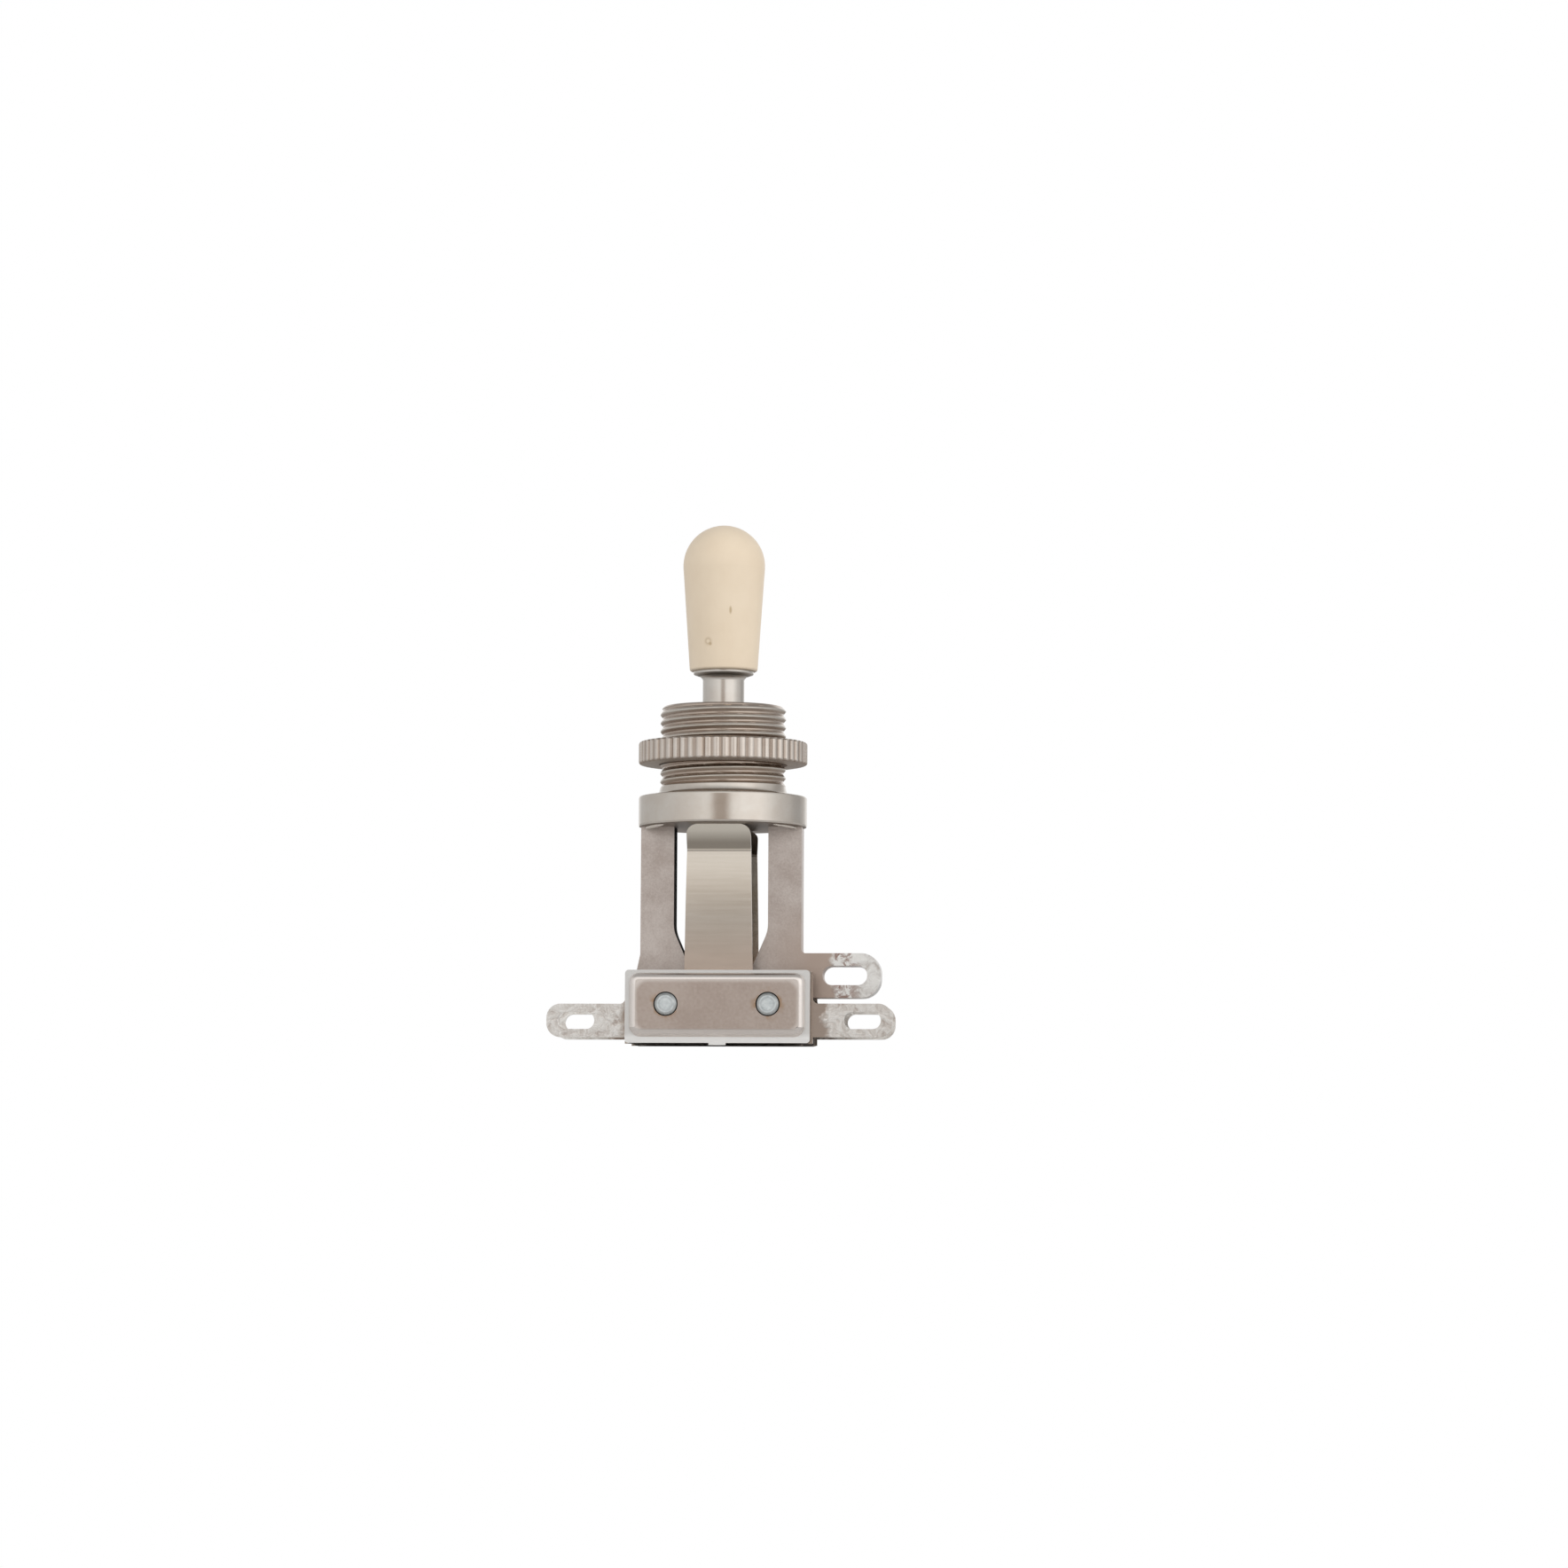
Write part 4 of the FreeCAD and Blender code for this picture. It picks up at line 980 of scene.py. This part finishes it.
    shader = add_node(
        tree,
        "BsdfPrincipled",
        {
            "Base Color": colour.outputs["Result"],
            "Metallic": 1.0,
            "Roughness": rough.outputs[0],
            "Normal": bump.outputs[0],
        },
    )
    finish_material(material, shader)
    return material


short_leaf_metal = leaf_metal("nickel_silver_rolled", "#D6CFC4", "#C9C1B5", tin_from=9.1)
for side in ("front", "rear"):
    dress_node(f"{side}_short_leaf", short_leaf_metal)

# Silver: white and bright, softened by the wiping of the contacts.
silver = new_material("contact_silver")
tree = silver.node_tree
spot = add_node(tree, "TexCoord").outputs["Object"]
grain = add_node(tree, "TexNoise", {"Vector": spot, "Scale": pattern_scale(0.2), "Detail": 3})
rough = add_node(tree, "MapRange", {"Value": grain.outputs["Fac"], "To Min": 0.2, "To Max": 0.42})
shader = add_node(
    tree,
    "BsdfPrincipled",
    {"Base Color": hex_colour("#DDDCD8"), "Metallic": 1.0, "Roughness": rough.outputs[0]},
)
finish_material(silver, shader)
for side in ("front", "rear"):
    dress_node(f"{side}_fixed_contact", silver)

# Long leaves
# Nickel-silver springs that the cam pushes. Their blades flex from the clamped root.
# Each is its own mesh, slightly bowed, with its end turned out and curled back a little.

stack_top = -21.72
leaf_bend = -10.42
leaf_middle = 3.9
leaf_half = 0.2
blade_half_foot, blade_half_bend = 3.2, 3.0
blade_foot = stack_top - 0.3
blade_length = leaf_bend - 0.12 - stack_top
bow = 0.6
bend_length = 0.3
flare_length = 2.43
flare_lean = math.radians(28.6)
flare_straight = 1.0
tip_lean = math.radians(7)
corner_across, corner_up = 1.1, 0.9
button_place = -14.92
button_radius = 1.0
long_leaf_metal = leaf_metal(
    "nickel_silver_spring", "#E0D7CB", "#D6CDC0", tin_from=10.1, shaded_end_above=leaf_bend
)


def blade_lean(along):
    """How far the blade leans outwards, so many millimetres up from its foot."""
    up = (along - (stack_top - blade_foot)) / blade_length
    if up < 0:
        return 0.0
    if up < 1:
        return math.atan(bow / blade_length * (1 - 3 * up**2))
    past = (up - 1) * blade_length
    start = math.atan(-2 * bow / blade_length)
    if past < bend_length:
        return start + (flare_lean - start) * past / bend_length
    curl = max(0.0, past - bend_length - flare_straight) / (flare_length - flare_straight)
    return flare_lean + (tip_lean - flare_lean) * curl


straight = stack_top - blade_foot + blade_length
blade_end = straight + bend_length + flare_length
stations = [0.0] + [straight * n / 24 for n in range(1, 25)]
stations += [straight + bend_length * n / 7 for n in range(1, 8)]
stations += [straight + bend_length + (flare_length - corner_up) * n / 6 for n in range(1, 7)]
stations += [blade_end - corner_up * (1 - math.sin(math.radians(9 * n))) for n in range(1, 11)]


def blade_mesh(name, forward):
    """The strip above the clamped root: four points at each station, closed at both ends."""
    points = []
    faces = [(0, 1, 2, 3)]
    distance, height, along = leaf_middle, blade_foot, 0.0
    for station in stations:
        while along < station - 0.001:
            step = min(0.02, station - along)
            lean = blade_lean(along + step / 2)
            distance += step * math.sin(lean)
            height += step * math.cos(lean)
            along += step
        lean = blade_lean(station)
        taper = blade_half_foot - blade_half_bend
        half = blade_half_foot - taper * min(1.0, station / straight)
        to_end = (blade_end - station) / corner_up
        if to_end < 1:
            half -= corner_across * (1 - math.sqrt(max(0.0, 1 - (1 - to_end) ** 2)))
        for across, out in ((-1, 1), (1, 1), (1, -1), (-1, -1)):
            points.append(
                (
                    -forward * across * half,
                    forward * (distance + out * leaf_half * math.cos(lean)),
                    height - out * leaf_half * math.sin(lean),
                )
            )
    for number in range(len(stations) - 1):
        here, there = 4 * number, 4 * number + 4
        for side in range(4):
            beside = (side + 1) % 4
            faces.append((here + beside, here + side, there + side, there + beside))
    last = 4 * (len(stations) - 1)
    faces.append((last + 3, last + 2, last + 1, last))
    mesh = bpy.data.meshes.new(name)
    mesh.from_pydata([Vector(point) * MM for point in points], [], faces)
    mesh.update()
    return mesh


for side, forward in (("front", -1), ("rear", 1)):
    name = f"{side}_long_leaf"
    leaf = join_meshes(
        f"{side}_spring_leaf",
        [cut_mesh(name, blade_foot, keep_below=True), blade_mesh(f"{side}_blade", forward)],
        long_leaf_metal,
        sharp=30,
    )
    place = forward * leaf_middle * MM
    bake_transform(leaf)
    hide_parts(name)
    # The moving button is riveted to the bowed blade, so its shank is longer by the bow.
    up = (button_place - stack_top) / blade_length
    back = leaf_middle - leaf_half + bow * (up - up**3) + 0.02
    button = turned_rings(
        f"{side}_moving_button",
        [
            plain_ring(button_radius - 0.5, 3.25),
            plain_ring(button_radius - 0.2, 3.27),
            plain_ring(button_radius - 0.07, 3.31),
            plain_ring(button_radius, 3.39),
            plain_ring(button_radius, back),
        ],
        48,
        silver,
        hollow=False,
    )
    button.data.transform(
        Matrix.Translation((0, 0, button_place * MM)) @ Matrix.Rotation(math.radians(-90 * forward), 4, "X")
    )
    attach(button, f"{side}_spring")
    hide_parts(f"{side}_moving_contact")

# Clamp plates
# Drawn from sheet steel and nickel plated. The raised panel is smooth and mirrors
# the room, while the narrow rim is duller and painted near white, a painted reflection.

rim_front, panel_front = 5.35, 6.0
rim_low_from, rim_low_to = -27.6, -28.0
panel_middle = -25.12
flat_half_width, flat_half_height = 6.4, 1.2
screw_side, screw_height = 4.75, -24.92


def from_screw(tree, spot):
    """The distance from the nearer clamp screw's axis, as a node."""
    level = add_node(tree, "VectorMath", {0: spot, 1: (0, 0, -screw_height * MM)}, operation="ADD")
    folded = add_node(tree, "VectorMath", {0: level.outputs[0]}, operation="ABSOLUTE")
    aside = add_node(
        tree, "VectorMath", {0: folded.outputs[0], 1: (screw_side * MM, 0, 0)}, operation="SUBTRACT"
    )
    flat = add_node(tree, "VectorMath", {0: aside.outputs[0], 1: (1, 0, 1)}, operation="MULTIPLY")
    return add_node(tree, "VectorMath", {0: flat.outputs[0]}, operation="LENGTH")


plate_nickel = new_material("nickel_plate_drawn")
tree = plate_nickel.node_tree
spot = add_node(tree, "TexCoord").outputs["Object"]
parts = add_node(tree, "SeparateXYZ", {0: spot})
depth = add_node(tree, "Math", {0: parts.outputs["Y"]}, operation="ABSOLUTE")
raised = add_node(
    tree,
    "MapRange",
    {"Value": depth.outputs[0], "From Min": rim_front * MM, "From Max": panel_front * MM},
    interpolation_type="SMOOTHSTEP",
)
grain = add_node(
    tree, "TexNoise", {"Vector": spot, "Scale": pattern_scale(0.303), "Detail": 4, "Roughness": 0.6}
)
cloud = add_node(tree, "TexNoise", {"Vector": spot, "Scale": pattern_scale(3.57), "Detail": 4})
mixed = add_node(tree, "Math", {0: grain.outputs["Fac"], 1: cloud.outputs["Fac"]}, operation="ADD")
half = add_node(tree, "Math", {0: mixed.outputs[0], 1: 0.5}, operation="MULTIPLY")
panel = add_node(
    tree,
    "ValToRGB",
    {"Fac": half.outputs[0]},
    stops=[(0.38, hex_colour("#C5B6AC")), (0.6, hex_colour("#D3C6BD"))],
)
# The rim's lower edge is painted brighter still, a painted highlight.
lowest = add_node(
    tree,
    "MapRange",
    {"Value": parts.outputs["Z"], "From Min": rim_low_from * MM, "From Max": rim_low_to * MM},
)
rim = add_node(
    tree,
    "Mix",
    {"Factor": lowest.outputs[0], "A": hex_colour("#ECEAE7"), "B": hex_colour("#FFFEFC")},
    data_type="RGBA",
)
pressed_and_painted_light = add_node(
    tree,
    "Mix",
    {"Factor": raised.outputs[0], "A": rim.outputs["Result"], "B": panel.outputs["Color"]},
    data_type="RGBA",
)
# The rounding between them is painted bright, a painted highlight.
facing = add_node(tree, "SeparateXYZ", {0: add_node(tree, "NewGeometry").outputs["Normal"]})
flatness = add_node(tree, "Math", {0: facing.outputs["Y"]}, operation="ABSOLUTE")
rounding = add_node(
    tree, "MapRange", {"Value": flatness.outputs[0], "From Min": 1.0, "From Max": 0.975}
)
# The painted highlight fades over the panel's outer millimetre, along a rectangle with round corners.
level = add_node(tree, "VectorMath", {0: spot, 1: (0, 0, -panel_middle * MM)}, operation="ADD")
folded = add_node(tree, "VectorMath", {0: level.outputs[0]}, operation="ABSOLUTE")
beyond = add_node(
    tree,
    "VectorMath",
    {0: folded.outputs[0], 1: (flat_half_width * MM, 1.0, flat_half_height * MM)},
    operation="SUBTRACT",
)
outside = add_node(tree, "VectorMath", {0: beyond.outputs[0], 1: (0, 0, 0)}, operation="MAXIMUM")
to_border = add_node(tree, "VectorMath", {0: outside.outputs[0]}, operation="LENGTH")
border = add_node(
    tree,
    "MapRange",
    {"Value": to_border.outputs["Value"], "From Min": 0.85 * MM, "From Max": 1.4 * MM},
    interpolation_type="SMOOTHSTEP",
)
on_panel = add_node(tree, "Math", {0: border.outputs[0], 1: raised.outputs[0]}, operation="MULTIPLY")
edge_highlight = add_node(tree, "Math", {0: on_panel.outputs[0], 1: rounding.outputs[0]}, operation="MAXIMUM")
colour = add_node(
    tree,
    "Mix",
    {"Factor": edge_highlight.outputs[0], "A": pressed_and_painted_light.outputs["Result"], "B": hex_colour("#F3EBE5")},
    data_type="RGBA",
)
rough = add_node(tree, "MapRange", {"Value": raised.outputs[0], "To Min": 0.5, "To Max": 0.24})
bump = add_node(tree, "Bump", {"Height": grain.outputs["Fac"], "Strength": 0.25, "Distance": 0.02 * MM})
# A little rust has crept out round the screws.
radius = from_screw(tree, spot)
near = add_node(
    tree,
    "MapRange",
    {"Value": radius.outputs["Value"], "From Min": 1.7 * MM, "From Max": 1.15 * MM, "To Max": 0.75},
)
patches = add_node(tree, "TexNoise", {"Vector": spot, "Scale": pattern_scale(1.11), "Detail": 3})
patch = add_node(
    tree, "MapRange", {"Value": patches.outputs["Fac"], "From Min": 0.48, "From Max": 0.62}
)
rust = add_node(tree, "Math", {0: near.outputs[0], 1: patch.outputs[0]}, operation="MULTIPLY")
rusted = add_node(
    tree,
    "Mix",
    {"Factor": rust.outputs[0], "A": colour.outputs["Result"], "B": hex_colour("#B5916B")},
    data_type="RGBA",
)
shader = add_node(
    tree,
    "BsdfPrincipled",
    {
        "Base Color": rusted.outputs["Result"],
        "Metallic": 1.0,
        "Roughness": rough.outputs[0],
        "Normal": bump.outputs[0],
    },
)
finish_material(plate_nickel, shader)
dress_node("rear_clamp_plate", plate_nickel)

# The front plate's panel sits a little higher and wider than the solid's, so its upper and lower
# borders move up, its sides move outwards, and the holes stay.
rim_reach = 5.32
hole_reach = 1.6
border_up, border_down = 0.25, 0.15
border_left, border_right = 0.12, 0.08
front_plate = cad["front_clamp_plate"].copy()
front_plate.name = "drawn_front_plate"
front_plate.data = cad["front_clamp_plate"].data.copy()
bpy.context.scene.collection.objects.link(front_plate)
for vertex in front_plate.data.vertices:
    x, y, z = vertex.co / MM
    if y > -rim_reach or math.hypot(abs(x) - screw_side, z - screw_height) < hole_reach:
        continue
    if z > panel_middle + 2:
        z += border_up
    elif z < panel_middle - 2:
        z += border_down
    if x < -6.8:
        x -= border_left
    elif x > 6.8:
        x += border_right
    vertex.co = Vector((x, y, z)) * MM
front_plate.data.materials.clear()
front_plate.data.materials.append(plate_nickel)
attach(front_plate, "base")
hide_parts("front_clamp_plate")

# Clamp screws
# Zinc-plated steel, cold and bluish beside the nickel. The ends in front are
# rough where they were cut to length.

screw_zinc = new_material("zinc_plate_bright")
tree = screw_zinc.node_tree
spot = add_node(tree, "TexCoord").outputs["Object"]
grain = add_node(
    tree, "TexNoise", {"Vector": spot, "Scale": pattern_scale(0.385), "Detail": 4, "Roughness": 0.7}
)
colour = add_node(
    tree,
    "ValToRGB",
    {"Fac": grain.outputs["Fac"]},
    stops=[(0.35, hex_colour("#D2D9DA")), (0.65, hex_colour("#F2F7F7"))],
)
rough = add_node(tree, "MapRange", {"Value": grain.outputs["Fac"], "To Min": 0.35, "To Max": 0.55})
bump = add_node(tree, "Bump", {"Height": grain.outputs["Fac"], "Strength": 0.5, "Distance": 0.05 * MM})
# The end in front is turned, with a faint ring halfway in, and its edge is painted dark, a painted shade from
# the gap round it.
screw_radius = 1.08
radius = from_screw(tree, spot)
end_ring_and_edge_shade = add_node(
    tree,
    "ValToRGB",
    {
        "Fac": add_node(
            tree, "MapRange", {"Value": radius.outputs["Value"], "From Max": screw_radius * MM}
        ).outputs[0]
    },
    stops=[
        (0.0, grey(0.94)),
        (0.42, grey(1.0)),
        (0.58, grey(0.78)),
        (0.7, grey(1.0)),
        (0.84, grey(0.95)),
        (1.0, grey(0.5)),
    ],
)
parts = add_node(tree, "SeparateXYZ", {0: spot})
in_front = add_node(tree, "Math", {0: parts.outputs["Y"], 1: -5.0 * MM}, operation="LESS_THAN")
shaded = add_node(
    tree,
    "Mix",
    {"Factor": in_front.outputs[0], "A": colour.outputs["Color"], "B": end_ring_and_edge_shade.outputs["Color"]},
    data_type="RGBA",
    blend_type="MULTIPLY",
)
shader = add_node(
    tree,
    "BsdfPrincipled",
    {
        "Base Color": shaded.outputs["Result"],
        "Metallic": 1.0,
        "Roughness": rough.outputs[0],
        "Normal": bump.outputs[0],
    },
)
finish_material(screw_zinc, shader)
dress_node("clamp_screws", screw_zinc)

# Studio
# A pale floor, a light tent as the world, and a soft lamp at each side. The tent is white in
# front and dimmer at its sides, with a gap for the camera, and the polished faces mirror it.

floor_level = cad_box[0][2]
floor_paint = new_material("studio_floor")
tree = floor_paint.node_tree
path = add_node(tree, "LightPath")
side = add_node(tree, "NewGeometry")
pale = add_node(
    tree,
    "Mix",
    {"Factor": path.outputs["Is Camera Ray"], "A": grey(0.72), "B": grey(0.98)},
    data_type="RGBA",
)
paint = add_node(tree, "BsdfDiffuse", {"Color": pale.outputs["Result"]})
clear = add_node(tree, "BsdfTransparent")
# The photograph's camera stands just below the floor's level, so the floor's back lets it look through.
below = add_node(
    tree,
    "Math",
    {0: side.outputs["Backfacing"], 1: path.outputs["Is Camera Ray"]},
    operation="MULTIPLY",
)
shown = add_node(tree, "MixShader", {"Fac": below.outputs[0], 1: paint.outputs[0], 2: clear.outputs[0]})
finish_material(floor_paint, shown)
reach = 900
floor = make_object(
    "studio_floor",
    [
        (-reach, -reach, floor_level / MM),
        (reach, -reach, floor_level / MM),
        (reach, reach, floor_level / MM),
        (-reach, reach, floor_level / MM),
    ],
    [(0, 1, 2, 3)],
    floor_paint,
)

world = bpy.data.worlds.new("light_tent")
bpy.context.scene.world = world
world.use_nodes = True
tree = world.node_tree
tree.nodes.clear()
heading = add_node(tree, "TexCoord").outputs["Generated"]
parts = add_node(tree, "SeparateXYZ", {0: heading})
front = add_node(tree, "Math", {0: parts.outputs["Y"], 1: -1.0}, operation="MULTIPLY")
azimuth = add_node(tree, "Math", {0: parts.outputs["X"], 1: front.outputs[0]}, operation="ARCTAN2")
turn = add_node(
    tree, "Math", {0: azimuth.outputs[0], 1: 1 / (2 * math.pi), 2: 0.5}, operation="MULTIPLY_ADD"
)
# Round the tent from the back (0), past the left, the front (0.5) and the right, to the back (1).
walls = add_node(
    tree,
    "ValToRGB",
    {"Fac": turn.outputs[0]},
    stops=[
        (0.04, grey(1.0)),
        (0.1, grey(0.58)),
        (0.2, grey(0.59)),
        (0.3, grey(0.67)),
        (0.36, grey(0.77)),
        (0.415, grey(0.87)),
        (0.44, grey(0.95)),
        (0.48, grey(0.92)),
        (0.545, grey(1.0)),
        (0.58, grey(1.12)),
        (0.66, grey(1.14)),
        (0.69, grey(0.98)),
        (0.72, grey(0.82)),
        (0.76, grey(0.68)),
        (0.8, grey(0.6)),
        (0.835, grey(0.46)),
        (0.875, grey(0.44)),
        (0.92, grey(0.62)),
        (0.96, grey(1.0)),
    ],
)
# The gap where the camera stands: 12 degrees wide, with soft sides, and 6 to 11 high.
gap_side = add_node(
    tree,
    "ValToRGB",
    {"Fac": turn.outputs[0]},
    stops=[(0.462, grey(0.0)), (0.487, grey(0.93)), (0.52, grey(1.0)), (0.55, grey(0.0))],
)
gap_top = add_node(
    tree,
    "MapRange",
    {"Value": parts.outputs["Z"], "From Min": 0.19, "From Max": 0.1},
    interpolation_type="SMOOTHSTEP",
)
gap = add_node(
    tree, "Math", {0: gap_side.outputs["Color"], 1: gap_top.outputs[0]}, operation="MULTIPLY"
)
opened = add_node(
    tree,
    "Mix",
    {"Factor": gap.outputs[0], "A": walls.outputs["Color"], "B": hex_colour("#AFA49B")},
    data_type="RGBA",
)
roof = add_node(
    tree,
    "MapRange",
    {"Value": parts.outputs["Z"], "From Min": 0.45, "From Max": 0.8},
    interpolation_type="SMOOTHSTEP",
)
tent = add_node(
    tree,
    "Mix",
    {"Factor": roof.outputs[0], "A": opened.outputs["Result"], "B": grey(0.38)},
    data_type="RGBA",
)
path = add_node(tree, "LightPath")
seen = add_node(
    tree,
    "Mix",
    {"Factor": path.outputs["Is Camera Ray"], "A": tent.outputs["Result"], "B": grey(1.0)},
    data_type="RGBA",
)
sky = add_node(tree, "Background", {"Color": seen.outputs["Result"], "Strength": 1.0})
add_node(tree, "OutputWorld", {"Surface": sky.outputs[0]})

for side, power, place in (("right", 2.9, (0.68, -0.4, 0.25)), ("left", 1.7, (-0.6, -0.45, 0.25))):
    lamp = bpy.data.lights.new(f"{side}_lamp", "AREA")
    lamp.energy = power
    lamp.size = 0.5
    lamp_holder = bpy.data.objects.new(f"{side}_lamp", lamp)
    bpy.context.scene.collection.objects.link(lamp_holder)
    lamp_holder.location = place
    lamp_holder.rotation_euler = (-lamp_holder.location).to_track_quat("-Z", "Y").to_euler()
    lamp_holder.visible_glossy = False

# Camera
# A long lens half a metre away, a little to the right and below, where the
# photographer stood.

lens = bpy.data.cameras.new("photo_camera")
lens.lens = 118.19
lens.sensor_width = 36
lens.sensor_fit = "HORIZONTAL"
lens.clip_start = 0.01
camera = bpy.data.objects.new("photo_camera", lens)
bpy.context.scene.collection.objects.link(camera)
camera.matrix_world = (
    Matrix.Translation(Vector((39.36, -482.76, -44.07)) * MM)
    @ Matrix.Rotation(math.radians(3.98), 4, "Z")
    @ Matrix.Rotation(math.radians(94.742), 4, "X")
    @ Matrix.Rotation(math.radians(0.273), 4, "Z")
)
bpy.context.scene.camera = camera
bpy.context.scene.view_settings.view_transform = "Standard"
